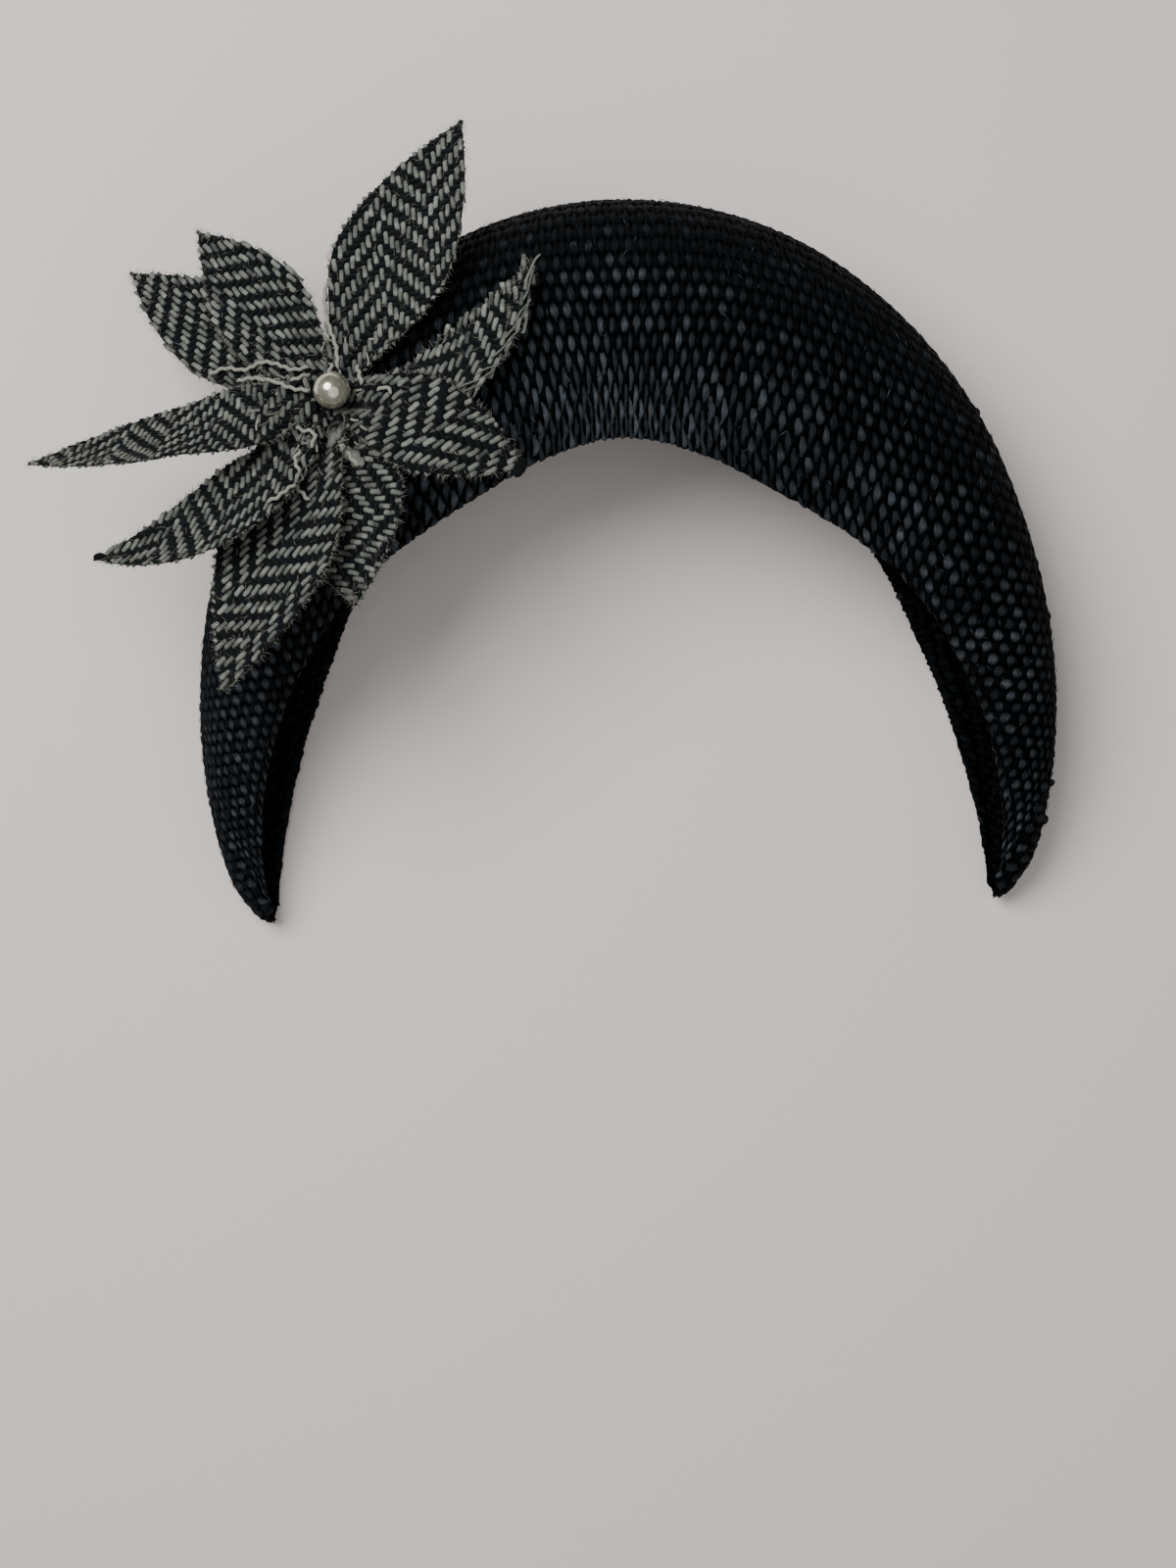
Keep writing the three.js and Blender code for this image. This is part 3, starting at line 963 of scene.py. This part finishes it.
    def slivers(self, rng: Rng) -> Joined:
        """Make the split bits of straw that stand off the weave.

        Args:
            rng: Source of their places and sizes.

        Returns:
            The slivers.
        """
        made = Joined()
        t = np.array([[-0.5], [0.0], [0.5]])
        thin = 1 - 1.6 * np.abs(t)
        angle = rng.uniform(self.shape.tip + 4, 176 - self.shape.tip, self.sliver_count)
        rim = np.interp(angle, self.shape.angles, self.shape.rim_place)
        place = -rng.uniform(0, 1, self.sliver_count) * rim
        for point, out in zip(*self.shape.read(angle, place)):
            side = unit(np.cross(out, np.array([rng.normal(0, 0.5), 1.0, 0.0])))
            ahead = np.cross(side, out) + out * rng.uniform(-0.1, 0.3)
            path = point + out * self.sliver_at + ahead * t * rng.uniform(*self.sliver_length)
            tone = np.full(len(t), rng.uniform(*self.sliver_tone) ** self.sliver_power)
            wide = side * rng.uniform(*self.sliver_half) * thin
            made.sweep(path, wide, out * self.sliver_thick * thin, 4, tone)
        return made

    def build(self) -> bpy.types.Object:
        """Make and dress every piece of the band.

        Returns:
            The wall that stands for the band.
        """
        rng = np.random.default_rng(STRAW_SEED)
        wall = self.ground().piece("straw_ground", STRAW_GROUND.material(), "straw")
        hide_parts("halo_band")
        material = STRAW.material()
        for way in StrandWay:
            for side, strands in zip(("front", "back"), self.strands(way, rng)):
                strands.piece(f"straw_{way.value}_{side}", material, "straw")
        self.knot_ends(rng).piece("straw_knots", material, "straw")
        self.slivers(rng).piece("straw_slivers", material, "straw")
        return wall


class YarnWay(Enum):
    """Way that a yarn runs in the tweed."""

    WARP = "warp"
    WEFT = "weft"


@dataclass(frozen=True)
class Fibre:
    """Sizes of one kind of loose fibre on a petal."""

    found_to: float  # share of the petal's length that it is found on
    turn: float  # how far it turns from the way out of the petal, as a slope at most
    rise: tuple[float, float]  # least and greatest rise from the cloth, as a slope
    curl: float  # how far it curls, as a share of its length at most
    length: tuple[float, float]
    half: tuple[float, float]  # half its thickness, drawn coarser than a real fibre's so that it shows
    thinner: float  # share of the thickness that is gone at its end
    bends: int  # points along it
    sides: int


class FibreKind(Enum):
    """Kind of loose fibre: out of the raw edge, on a face, or a short end of yarn in the gather."""

    EDGE = Fibre(1.0, 1.2, (-0.7, 0.7), 0.9, (0.6, 2.1), (0.035, 0.075), 0.7, 3, 4)
    FACE = Fibre(1.0, 4.0, (0.05, 0.5), 0.9, (0.6, 2.1), (0.035, 0.075), 0.7, 3, 4)
    BIT = Fibre(0.2, 4.0, (0.05, 0.5), 1.98, (1.02, 3.57), (0.22, 0.36), 0.3, 8, 6)


@dataclass(frozen=True)
class Tweed:
    """The herringbone cloth."""

    warp_gap: float = 1.35  # spacing of the light warp yarns
    weft_gap: float = 1.38  # spacing of the dark weft yarns
    column: int = 8  # warp yarns before the slant turns back
    wave: float = 0.3  # how far a yarn goes over and under
    half_thick: float = 0.3  # half the thickness of a pressed yarn
    warp_width: float = 0.5  # width of a warp yarn where it goes under, as a share of the spacing
    weft_width: float = 0.6  # the same for a weft yarn
    swell: float = 0.32  # what is added to either where it lies on top
    uneven: float = 0.12  # how far the width goes up and down
    drift: float = 0.08  # how far a yarn wanders from its line, as a share of the spacing
    under_tone: float = 0.14  # lightness of a yarn that goes under, painted shade where it dives
    painted_top_light: float = 0.3  # what is added where it lies on top, a painted highlight
    yarn_tone: float = 0.14  # how far it differs from yarn to yarn
    float_tone: float = 0.3  # how far it differs along a yarn
    ground: float = 0.4  # thickness of the felted middle of the cloth

    def warp_over(self, end: Array | int, pick: Array | int) -> Array:
        """Say where the warp lies on top.

        Args:
            end: Numbers of warp yarns.
            pick: Numbers of weft yarns.

        Returns:
            1 where the warp is on top and -1 where the weft is.
        """
        step = np.mod(end, self.column)
        forward = np.mod(np.floor_divide(end, self.column), 2) == 0
        slant = np.where(forward, step, self.column + 1 - step)
        return np.where(np.mod(pick + slant, 4) < 2, 1.0, -1.0)


@dataclass
class Petal:
    """One petal: a leaf cut from the tweed, bent along its line, turned and cupped."""

    GATHER: ClassVar[float] = 3.0  # radius of the ring that the petals start from
    LAYER: ClassVar[float] = 1.6  # height of a layer of the stack
    WIDEST: ClassVar[float] = 0.45  # share of the length where the leaf is widest
    TAPER: ClassVar[float] = 1.7  # power of its outline to the point
    POINT_HALF: ClassVar[float] = 0.5  # least half width
    BASE_CUP: ClassVar[float] = 0.35  # share of the cup that there is at the base
    FACE_AT: ClassVar[float] = 0.55  # height where the fibres of a face start, just under the yarns' tops
    BELOW: ClassVar[float] = 0.3  # share of them that is on the lower face
    ROOT: ClassVar[float] = 0.2  # share of a fibre that is held in the cloth
    FIBRE_TONES: ClassVar[list[float]] = [0.25, 0.6, 0.8]
    LOOSE_LIFT: ClassVar[tuple[float, float]] = (0.7, 0.3)  # height of a loose yarn's middle, and its wave
    TAIL_RUN: ClassVar[float] = 7.0  # how far back a loose yarn leaves the cloth
    SHADE: ClassVar[float] = 0.4  # light that is lost in the gather, as a share

    name: str
    layer: float  # height in the stack, in layers
    bearing: float  # where it points from the flower's middle, in degrees
    bend: float  # change of the bearing to its point
    length: float  # of the cut leaf
    width: float  # of the cut leaf
    base: float  # gathered end as a share of that width
    pitch: float  # rise at its base, in degrees
    point_pitch: float  # rise at its point
    roll: float  # turn on its own line
    cup: float  # half angle of the cup across it
    grain: float  # turn of the warp from the petal's line
    shift: int = 0  # warp yarns by which the cloth was moved before the leaf was cut
    fray: float = 0.5  # how far warp ends stand out of the cut edge, at most
    bare: float = 0.3  # how far from the edge the weft has frayed away
    dark_from: tuple[float, float] = (0.93, 0.98)  # least and greatest share of its length with warp yarns
    fold: float = 0.0  # half the width of the roll where its point is folded under
    tail: float = 0.0  # length of the one warp yarn that hangs out of its point
    strays: int = 0  # warp yarns that have come loose along one edge
    pleat: float = 0.8  # height of the pleats where it is gathered
    pleat_run: float = 16.0  # how far along it they run out
    pleats: float = 5.0  # how close together they are, in radians from its line to its edge
    shaded: tuple[float, float] = (4, 22)  # how far along it the shade of the gather goes
    edge_hairs: float = 4.5  # loose fibres for each millimetre of length
    face_hairs: float = 0.5  # loose fibres for each square millimetre
    bits: int = 9  # short curled ends of yarn in the gather
    steps: int = 240  # places in the table along its line

    def __post_init__(self) -> None:
        """Fill the tables along the petal's line."""
        t = np.linspace(0, 1, self.steps + 1)
        bearing = np.radians(self.bearing + self.bend * t)
        pitch = np.radians(self.pitch + (self.point_pitch - self.pitch) * t)
        flat = np.zeros_like(t)
        outward = np.stack([np.cos(bearing), np.sin(bearing), flat], axis=1)
        left = np.stack([-np.sin(bearing), np.cos(bearing), flat], axis=1)
        ahead = outward * np.cos(pitch)[:, None]
        ahead[:, 2] = np.sin(pitch)
        moves = 0.5 * self.length / self.steps * (ahead[1:] + ahead[:-1])
        start = self.GATHER * outward[:1]
        start[:, 2] = self.LAYER * self.layer
        place = np.cumsum(np.concatenate([start, moves]), axis=0)
        roll = (math.radians(self.roll) * smoothstep(t, 0, 0.5))[:, None]
        side = left * np.cos(roll) + np.cross(ahead, left) * np.sin(roll)
        self.line = np.concatenate([place, ahead, side, np.cross(ahead, side)], axis=1)

    def half(self, s: Array) -> Array:
        """Half the cut leaf's width at places along it, in millimetres."""
        t = np.clip(s / self.length, 0, 1)
        opening = self.base + (1 - self.base) * smoothstep(t, 0, self.WIDEST)
        past = np.maximum(0, (t - self.WIDEST) / (1 - self.WIDEST))
        return np.maximum(self.POINT_HALF, 0.5 * self.width * opening * (1 - past**self.TAPER))

    def area(self) -> float:
        """Area of the cut leaf, in square millimetres."""
        s = np.linspace(0, self.length, 400)
        wide = 2 * self.half(s)
        return float(np.sum(0.5 * (wide[1:] + wide[:-1]) * np.diff(s)))

    def read(self, s: Array, w: Array) -> tuple[Array, Array]:
        """Read points and normals of the petal's middle.

        Args:
            s: Places along the cut leaf, in millimetres.
            w: Places across it.

        Returns:
            Points and normals in the flower's own frame.
        """
        within = np.clip(s, 0, self.length)
        at = np.clip(within / self.length * self.steps, 0, self.steps - 0.001)
        i = at.astype(int)
        u = (at - i)[..., None]
        value = self.line[i] * (1 - u) + self.line[i + 1] * u
        place, ahead, side, face = (value[..., k : k + 3] for k in (0, 3, 6, 9))
        place = place + ahead * (s - within)[..., None]
        half = self.half(s)
        cupped = self.BASE_CUP + (1 - self.BASE_CUP) * smoothstep(within / self.length, 0, 0.4)
        bend = math.radians(self.cup) * cupped / half
        turn = np.clip(w * bend, -1.2, 1.2)
        pleat = self.pleat * np.exp(-((within / self.pleat_run) ** 2))
        # The grain moves the pleats along too, so that no two petals are gathered alike
        lift = (1 - np.cos(turn)) / bend + pleat * np.cos(self.pleats * w / half + self.grain)
        points = place + side * (np.sin(turn) / bend)[..., None] + face * lift[..., None]
        return points, unit(face * np.cos(turn)[..., None] - side * np.sin(turn)[..., None])

    def yarns(self, cloth: Tweed, way: YarnWay, rng: Rng) -> Joined:
        """Weave the petal's yarns of one way, with raw ends at its edge.

        Args:
            cloth: The tweed that it is cut from.
            way: Which yarns.
            rng: Source of small differences between yarns.

        Returns:
            The yarns.
        """
        made = Joined()
        warp = way is YarnWay.WARP
        gap, other = (cloth.warp_gap, cloth.weft_gap) if warp else (cloth.weft_gap, cloth.warp_gap)
        sides, least = (6, cloth.warp_width) if warp else (4, cloth.weft_width)
        reach = 0.5 * (self.length + self.width)
        lines = int(reach / gap)
        fine = 3
        along = np.arange(-int(reach / other) * fine, int(reach / other) * fine + 1) / fine
        crossings = along[::fine]
        cosine = math.cos(math.radians(self.grain))
        sine = math.sin(math.radians(self.grain))
        before = np.floor(along).astype(int)
        blend = smoothstep(along - before, 0.25, 0.75)
        for line in range(-lines, lines + 1):
            if warp:
                states = [cloth.warp_over(line + self.shift, before + k) for k in (0, 1)]
            else:
                states = [-cloth.warp_over(before + k + self.shift, line) for k in (0, 1)]
            over = states[0] * (1 - blend) + states[1] * blend
            on_top = 0.5 + 0.5 * over
            phase = rng.uniform(0, FULL_TURN, 2)
            drift = cloth.drift * (np.sin(along * 0.9 + phase[0]) + np.sin(along * 1.9 + phase[1]))
            x = along * other
            y = (line + drift) * gap
            if not warp:
                x, y = y, x
            s = 0.5 * self.length + x * cosine - y * sine
            w = x * sine + y * cosine
            fray = rng.uniform(-0.1, self.fray) if warp else -self.bare * rng.uniform(0.6, 1.2)
            end = self.length * (rng.uniform(*self.dark_from) if warp else 1.0) + fray
            inside = (np.abs(w) <= self.half(s) + fray) & (s >= 0) & (s <= end)
            points, normals = self.read(s, w)
            centre = points + normals * (cloth.wave * over)[:, None]
            ahead = unit(np.gradient(centre, axis=0))
            differs = np.interp(along, crossings, rng.uniform(-1, 1, len(crossings)))
            width = 0.5 * gap * (least + cloth.swell * on_top + cloth.uneven * differs)
            across = unit(np.cross(normals, ahead))
            wide = across * width[:, None]
            tall = np.cross(ahead, across) * cloth.half_thick
            # Painted highlight where a yarn lies on top, painted shade where it dives under
            tone = cloth.under_tone + cloth.painted_top_light * on_top + cloth.float_tone * differs
            tone = tone + rng.uniform(-cloth.yarn_tone, cloth.yarn_tone)
            tone = np.clip(tone * (1 - self.SHADE + self.SHADE * smoothstep(s, *self.shaded)), 0, 1)
            for run in runs(inside):
                made.sweep(centre[run], wide[run], tall[run], sides, tone[run])
        if warp:
            self._hang(made)
        elif self.fold:
            self._fold(made)
        return made

    def _hang(self, made: Joined) -> None:
        """Add the warp yarns that hang out of the point and have come loose along one edge.

        Args:
            made: The warp yarns.
        """
        lift, wave = self.LOOSE_LIFT
        if self.tail:
            t = np.linspace(0, 1, 14)
            s = self.length + self.tail - (self.TAIL_RUN + self.tail) * (1 - t)
            points, normals = self.read(s, -1.6 * (1 - t) ** 2 - 2.6 * t**3)
            path = points + normals * (lift + wave * np.sin(9 * t))[:, None]
            made.thread(path, normals, 0.46 * (1 - 0.5 * t), 8, 0.5)
        t = np.linspace(0, 1, 10)
        for start in np.linspace(0.3, 0.84, self.strays) * self.length:
            s = start + (self.TAIL_RUN + 2 * math.sin(start)) * t
            points, normals = self.read(s, -self.half(s) * (0.7 + 0.3 * t) - 0.8 * t**2)
            path = points + normals * (lift + wave * np.sin(7 * t + start))[:, None]
            made.thread(path, normals, 0.34 * (1 - 0.6 * t), 6, 0.4)

    def _fold(self, made: Joined) -> None:
        """Add the roll where the point is folded under.

        Args:
            made: The weft yarns.
        """
        t = np.linspace(0, 1, 17)
        points, normals = self.read(np.full_like(t, self.length - 1.6), self.fold * (1 - 2 * t))
        round_off = np.sqrt(np.clip(1 - (2 * t - 1) ** 2, 0.03, 1))[:, None]
        along = np.cross(unit(np.gradient(points, axis=0)), normals)
        made.sweep(points + 0.75 * normals, 1.4 * along * round_off, 0.7 * normals * round_off, 12, 0.6 * t)

    def ground(self, cloth: Tweed) -> Joined:
        """Make the felted middle of the cloth, which holds the yarns.

        Args:
            cloth: The tweed that it is cut from.

        Returns:
            The closed sheet.
        """
        s, v = np.meshgrid(np.linspace(0, self.length, 49), np.linspace(-1, 1, 13), indexing="ij")
        points, normals = self.read(s, v * np.maximum(self.half(s) - self.bare, 0.4))
        half = 0.5 * cloth.ground * normals
        sheet = Joined()
        sheet.shell(points + half, points - half, 0.3)
        return sheet

    def fuzz(self, rng: Rng) -> Joined:
        """Make the loose fibres along the raw edge and over both faces.

        Args:
            rng: Source of the fibres' places and bends.

        Returns:
            The fibres.
        """
        made = Joined()
        counts = (self.edge_hairs * self.length, self.face_hairs * self.area(), self.bits)
        for kind in (kind for kind, count in zip(FibreKind, counts) for _ in range(int(count))):
            fibre = kind.value
            edge = kind is FibreKind.EDGE
            s = self.length * rng.uniform(0.04, fibre.found_to, 1)
            w = rng.choice([-1.0, 1.0]) * self.half(s) * (1.0 if edge else rng.uniform(0, 1))
            (start,), (normal,) = self.read(s, w)
            (inner,), _ = self.read(s, np.zeros(1))
            out = unit(start - inner)
            turn = rng.uniform(-fibre.turn, fibre.turn)
            rise = rng.uniform(*fibre.rise)
            if kind is FibreKind.FACE and rng.uniform() < self.BELOW:
                rise = -rise
            if not edge:
                start = start + normal * math.copysign(self.FACE_AT, rise)
            way = unit(out + np.cross(normal, out) * turn + normal * rise)
            curl = np.cross(way, normal) * rng.uniform(-fibre.curl, fibre.curl)
            size = rng.uniform(*fibre.length)
            half = rng.uniform(*fibre.half)
            t = np.linspace(0, 1, fibre.bends)
            path = start + (way * (t - self.ROOT)[:, None] + curl * (0.6 * t * t)[:, None]) * size
            tone = rng.choice(self.FIBRE_TONES)
            made.thread(path, normal + 0.17, half * (1 - fibre.thinner * t), fibre.sides, tone)
        return made


@dataclass(frozen=True)
class LooseYarn:
    """A length of yarn or glue that lies loose on the flower."""

    CRIMP_RUN: ClassVar[float] = 2.4  # length of one wave, a little under two picks of the cloth
    TONE: ClassVar[float] = 0.85

    path: tuple[Point, ...]  # points that it passes, in the flower's own frame
    half_wide: float = 0.45
    half_thick: float = 0.4
    crimp: float = 0.22  # how far it waves from side to side, from having been woven

    def lay(self, made: Joined) -> None:
        """Add it to a mesh.

        Args:
            made: The mesh that it goes into.
        """
        points = np.array(self.path)
        tangents = np.gradient(points, axis=0)
        t = np.linspace(0, 1, 7)[:-1, None]
        ends = list(zip(points, tangents))
        spans = [hermite(*here, *there, t) for here, there in zip(ends, ends[1:])]
        line = np.concatenate([*spans, points[-1:]])
        ahead = unit(np.gradient(line, axis=0))
        side = unit(np.cross(np.array([0.0, 0.0, 1.0]), ahead))
        run = distances(line)
        line = line + side * (self.crimp * np.sin(run * (FULL_TURN / self.CRIMP_RUN)))[:, None]
        taper = np.sqrt(np.clip(np.minimum(run, run[-1] - run) / self.half_wide, 0.12, 1))[:, None]
        wide = side * self.half_wide * taper
        tall = np.cross(ahead, side) * self.half_thick * taper
        made.sweep(line, wide, tall, 8, np.full(len(line), self.TONE))


@dataclass
class Flower:
    """The tweed flower: its petals, loose yarns and what holds them together."""

    at: Point = (-62.3, 63.0, 56.9)  # middle of the lowest layer
    tilt: float = 18.0  # how far the flower leans, in degrees
    lean_to: float = 134.0  # bearing that it leans to
    cloth: Tweed = Tweed()
    # Cream yarns that have worked loose
    loose: tuple[LooseYarn, ...] = (
        LooseYarn((
            (-29.1, 8.9, 1.4), (-25.4, 10.3, 0.9), (-20.8, 9.4, 1.0), (-16.3, 10.1, 2.6),
            (-12.6, 9.2, 2.8), (-8.9, 7.4, 3.2), (-5.0, 7.6, 3.2),
        )),
        LooseYarn((
            (-22.4, 6.6, 1.6), (-18.3, 6.6, 2.6), (-11.3, 3.2, 7.2), (-7.3, 1.3, 7.1), (-3.4, 0.6, 6.8),
        )),
        LooseYarn(((-7.8, 3.1, 7.1), (-5.6, 3.9, 6.9), (-4.0, 5.1, 5.0))),
        LooseYarn((
            (-6.6, -7.5, 6.5), (-5.1, -7.9, 5.3), (-3.1, -8.4, 5.4), (-2.7, -10.3, 5.6), (-3.5, -12.1, 5.8),
        )),
        LooseYarn((
            (-5.8, -12.5, 5.6), (-6.8, -14.5, 6.0), (-5.9, -17.0, 6.6), (-6.0, -18.2, 4.0),
            (-7.5, -19.3, 3.2), (-6.5, -20.9, 2.6), (-4.7, -22.9, 2.5),
        )),
        LooseYarn(((-6.5, -20.3, 6.4), (-8.2, -22.2, 7.8), (-9.8, -23.7, 8.4), (-12.1, -24.5, 8.3))),
        LooseYarn(((2.1, -11.1, 3.2), (3.1, -11.9, 1.9), (4.5, -13.8, 1.3), (5.9, -15.5, 1.3))),
        LooseYarn(((6.7, 5.8, 5.9), (8.1, 2.6, 7.7), (8.6, 0.3, 7.8))),
        LooseYarn((
            (0.2, 24.8, 7.8), (-0.2, 20.0, 7.3), (0.7, 15.1, 6.7), (2.1, 10.3, 6.0), (2.3, 5.5, 5.3),
        )),
        LooseYarn(((1.0, 7.0, 5.4), (0.5, 5.3, 5.2), (0.2, 3.6, 5.0))),
        LooseYarn(((12.3, -1.7, 8.4), (14.2, -1.2, 8.9), (15.8, -2.7, 8.8))),
    )
    # Smears of glue below the pearl
    glue: tuple[LooseYarn, ...] = (
        LooseYarn(
            ((4.4, -5.6, 6.0), (3.0, -7.2, 3.7), (2.0, -8.6, 3.3), (1.2, -10.2, 3.2)),
            half_wide=0.9, half_thick=0.5, crimp=0.15,
        ),
        LooseYarn(
            ((2.2, -7.8, 3.4), (0.6, -9.6, 3.3), (0.2, -11.5, 3.1)),
            half_wide=1.1, half_thick=0.35, crimp=0.2,
        ),
        LooseYarn(
            ((2.6, -11.6, 2.2), (4.6, -13.0, 1.2), (6.0, -14.6, 1.2), (7.2, -15.4, 1.3)),
            half_wide=1.5, half_thick=0.25, crimp=0.3,
        ),
    )
    # Name, layer, bearing, bend, length, width, gathered share, pitch, pitch at the point, roll, cup, grain
    petals: tuple[Petal, ...] = (
        Petal("top", 2.1, 61, 4, 64.5, 29.5, 0.28, 10, -3, -6, 12, 31, shift=-3),
        Petal("upper_left", 1.1, 125, 4, 54, 22, 0.42, -2, -6, -8, 14, 6, shift=-3),
        Petal("left_high", 0, 145, -5, 64.5, 23, 0.4, -4, -12, 8, 14, -8),
        Petal("left_long", 3.25, 195, -12, 66, 24, 0.42, 6, 0, 42, 12, 80),
        Petal("left_low", 2.2, 240, -60, 63, 20.5, 0.24, 1, 0, 20, 20, 48, fold=1.3),
        Petal("bottom", 1.1, 249, -4, 65, 28, 0.4, -2, -10, 4, 14, -24, dark_from=(0.99, 1.0)),
        Petal("bottom_inner", 0, 275, -4, 42, 31, 0.26, -3, -20, 12, 12, 78),
        Petal("front_low", 3.25, 338, -2, 45, 21, 0.48, 14, -40, 18, 14, 54, shift=8, fold=2.9),
        Petal(
            "front_high", 0, 349, 82, 56, 14, 0.2, 12.5, 6, 2, 6, 30,
            fray=1.8, bare=0.9, dark_from=(0.98, 1.0), tail=0.8, strays=8,
        ),
    )

    def placed(self, made: Joined) -> Joined:
        """Move what was made in the flower's own frame to its place on the band.

        Args:
            made: What to move.

        Returns:
            The same, moved.
        """
        lean = math.radians(self.lean_to)
        tilt = math.radians(self.tilt)
        x = math.cos(lean)
        y = math.sin(lean)
        cross = np.array([[0, 0, x], [0, 0, y], [-x, -y, 0]])
        turn = np.eye(3) + math.sin(tilt) * cross + (1 - math.cos(tilt)) * (cross @ cross)
        made.points = [points @ turn.T + np.array(self.at) for points in made.points]
        return made

    def build(self, band: bpy.types.Object) -> None:
        """Make and dress every petal.

        Args:
            band: The wall of the band that the petals lie on; not used.
        """
        rng = np.random.default_rng(TWEED_SEED)
        yarn = {YarnWay.WARP: CREAM_WOOL.material(), YarnWay.WEFT: NAVY_WOOL.material()}
        felt = NAVY_WOOL.material()
        loose = LOOSE_WOOL.material()
        for petal in self.petals:
            node = f"petal_{petal.name}"
            sheet = self.placed(petal.ground(self.cloth)).piece(f"{node}_cloth", felt, "tweed")
            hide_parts(node)
            for way, material in yarn.items():
                yarns = self.placed(petal.yarns(self.cloth, way, rng))
                yarns.piece(f"{node}_{way.value}", material, "tweed")
            self.placed(petal.fuzz(rng)).piece(f"{node}_fray", loose, "tweed")
            petal.area() * MM * MM
        for name, yarns, material in (
            ("loose_yarns", self.loose, loose),
            ("glue_smears", self.glue, SET_GLUE.material()),
        ):
            made = Joined()
            for item in yarns:
                item.lay(made)
            self.placed(made).piece(name, material, "tweed")


@dataclass
class Pearl:
    """The pearl sewn on the flower's middle."""

    flower: Flower  # the flower that it is sewn to
    diameter: float = 8.0
    height: float = 10.4  # its middle above the lowest layer
    out: float = 3.1  # how far it is from the flower's middle
    bearing: float = 333.0  # where from the middle it is, in degrees
    drill: float = 0.45  # radius of the drilled hole's edge
    drill_inside: float = 0.9  # radius inside the hole, as a share of that

    def build(self) -> None:
        """Make and dress the pearl."""
        radius = 0.5 * self.diameter
        first = math.asin(self.drill / radius)
        turn = np.linspace(first, math.pi - first, 49)
        wall = np.stack([radius * np.sin(turn), radius * np.cos(turn)], axis=1)
        bore = np.linspace(wall[-1, 1], wall[0, 1], 9)
        hole = np.stack([np.full_like(bore, self.drill * self.drill_inside), bore], axis=1)
        profile = np.concatenate([wall, hole])
        around = np.linspace(0, FULL_TURN, 64, endpoint=False)
        points = np.empty((len(around), len(profile), 3))
        points[..., 0] = profile[:, 1]
        points[..., 1] = np.cos(around)[:, None] * profile[:, 0]
        points[..., 2] = np.sin(around)[:, None] * profile[:, 0]
        number = np.arange(points[..., 0].size).reshape(points.shape[:2])
        near = np.roll(number, -1, axis=0)
        quads = np.stack([number, near, np.roll(near, -1, axis=1), np.roll(number, -1, axis=1)], axis=-1)
        bearing = math.radians(self.bearing)
        middle = np.array([self.out * math.cos(bearing), self.out * math.sin(bearing), self.height])
        flat = points.reshape(-1, 3)
        made = Joined()
        made.add(flat + middle, quads.reshape(-1, 4), np.full(len(flat), 0.5), flat)
        piece = self.flower.placed(made).piece("pearl_bead", CoatedBead().material(), "pearl")
        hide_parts("pearl")


@dataclass
class Studio:
    """Plain floor, soft light and the camera."""

    floor_colour: str = "#e8e0db"
    floor_roughness: float = 0.85
    floor_reach: float = 3.0  # from its middle to its edges, in metres
    floor_drop: float = 0.0002  # under the part, in metres
    air_colour: str = "#dfe2e6"
    air_strength: float = 0.14
    lens: float = 56.0  # focal length for a 36 mm frame
    near: float = 0.01  # nearest that the camera sees, in metres
    camera_at: Point = (-9.98, -22.17, 590.0)  # over the middle of the band's arc, in millimetres
    camera_turn: float = -2.0  # turn of the camera about its own line, in degrees
    # Name, place in metres, diameter in metres and watts of each lamp
    lamps: tuple[tuple[str, Point, float, float], ...] = (
        ("key", (-0.36, 0.28, 0.8), 0.62, 9.2),
        ("fill", (0.2, -0.3, 0.9), 1.2, 3.3),
    )

    def build(self) -> None:
        """Make the floor, the lights and the camera."""
        self._floor()
        for name, at, size, power in self.lamps:
            light = bpy.data.lights.new(f"{name}_light", "AREA")
            light.shape = "DISK"
            light.size = size
            light.energy = power
            lamp = put(f"{name}_light", light)
            lamp.location = at
            x, y, z = at
            lamp.rotation_euler = (math.atan2(math.hypot(x, y), z), 0.0, math.atan2(x, -y))
            lamp.visible_camera = False
        world = bpy.data.worlds.new("studio")
        world.use_nodes = True
        background = world.node_tree.nodes["Background"]
        background.inputs["Color"].default_value = linear(self.air_colour)
        background.inputs["Strength"].default_value = self.air_strength
        bpy.context.scene.world = world
        camera = bpy.data.cameras.new("camera")
        camera.lens = self.lens
        camera.clip_start = self.near
        eye = put("camera", camera)
        eye.location = (np.array(self.camera_at) + SHIFT) * MM
        eye.rotation_euler = (0.0, 0.0, math.radians(self.camera_turn))
        bpy.context.scene.camera = eye

    def _floor(self) -> None:
        """Make the plain pale floor."""
        mesh = bpy.data.meshes.new("floor")
        far = self.floor_reach
        corners = [(-far, -far, 0), (far, -far, 0), (far, far, 0), (-far, far, 0)]
        mesh.from_pydata(corners, [], [(0, 1, 2, 3)])
        # Painted board: pale and matt, so that all it takes is soft shadows
        material, tree = new_material("painted board, matt")
        paint = {"Base Color": linear(self.floor_colour), "Roughness": self.floor_roughness}
        surface = add_node(tree, "BsdfPrincipled", paint)
        add_node(tree, "OutputMaterial", links={"Surface": surface.outputs["BSDF"]})
        mesh.materials.append(material)
        floor = put("floor", mesh)
        floor.location.z = -self.floor_drop
        floor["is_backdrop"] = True


def write_sizes() -> None:
    boxes = {"cad": CAD_BOX, "visual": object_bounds()}
    plain = {name: [[float(x) for x in corner] for corner in box] for name, box in boxes.items()}


def main() -> None:
    """Build the studio, the band, the flower and the pearl in order."""
    logging.basicConfig(level=logging.INFO, format="%(name)s %(message)s")
    Studio().build()
    band = StrawBand(BandShape()).build()
    flower = Flower()
    flower.build(band)
    Pearl(flower).build()
    write_sizes()


if __name__ == "__main__":
    main()
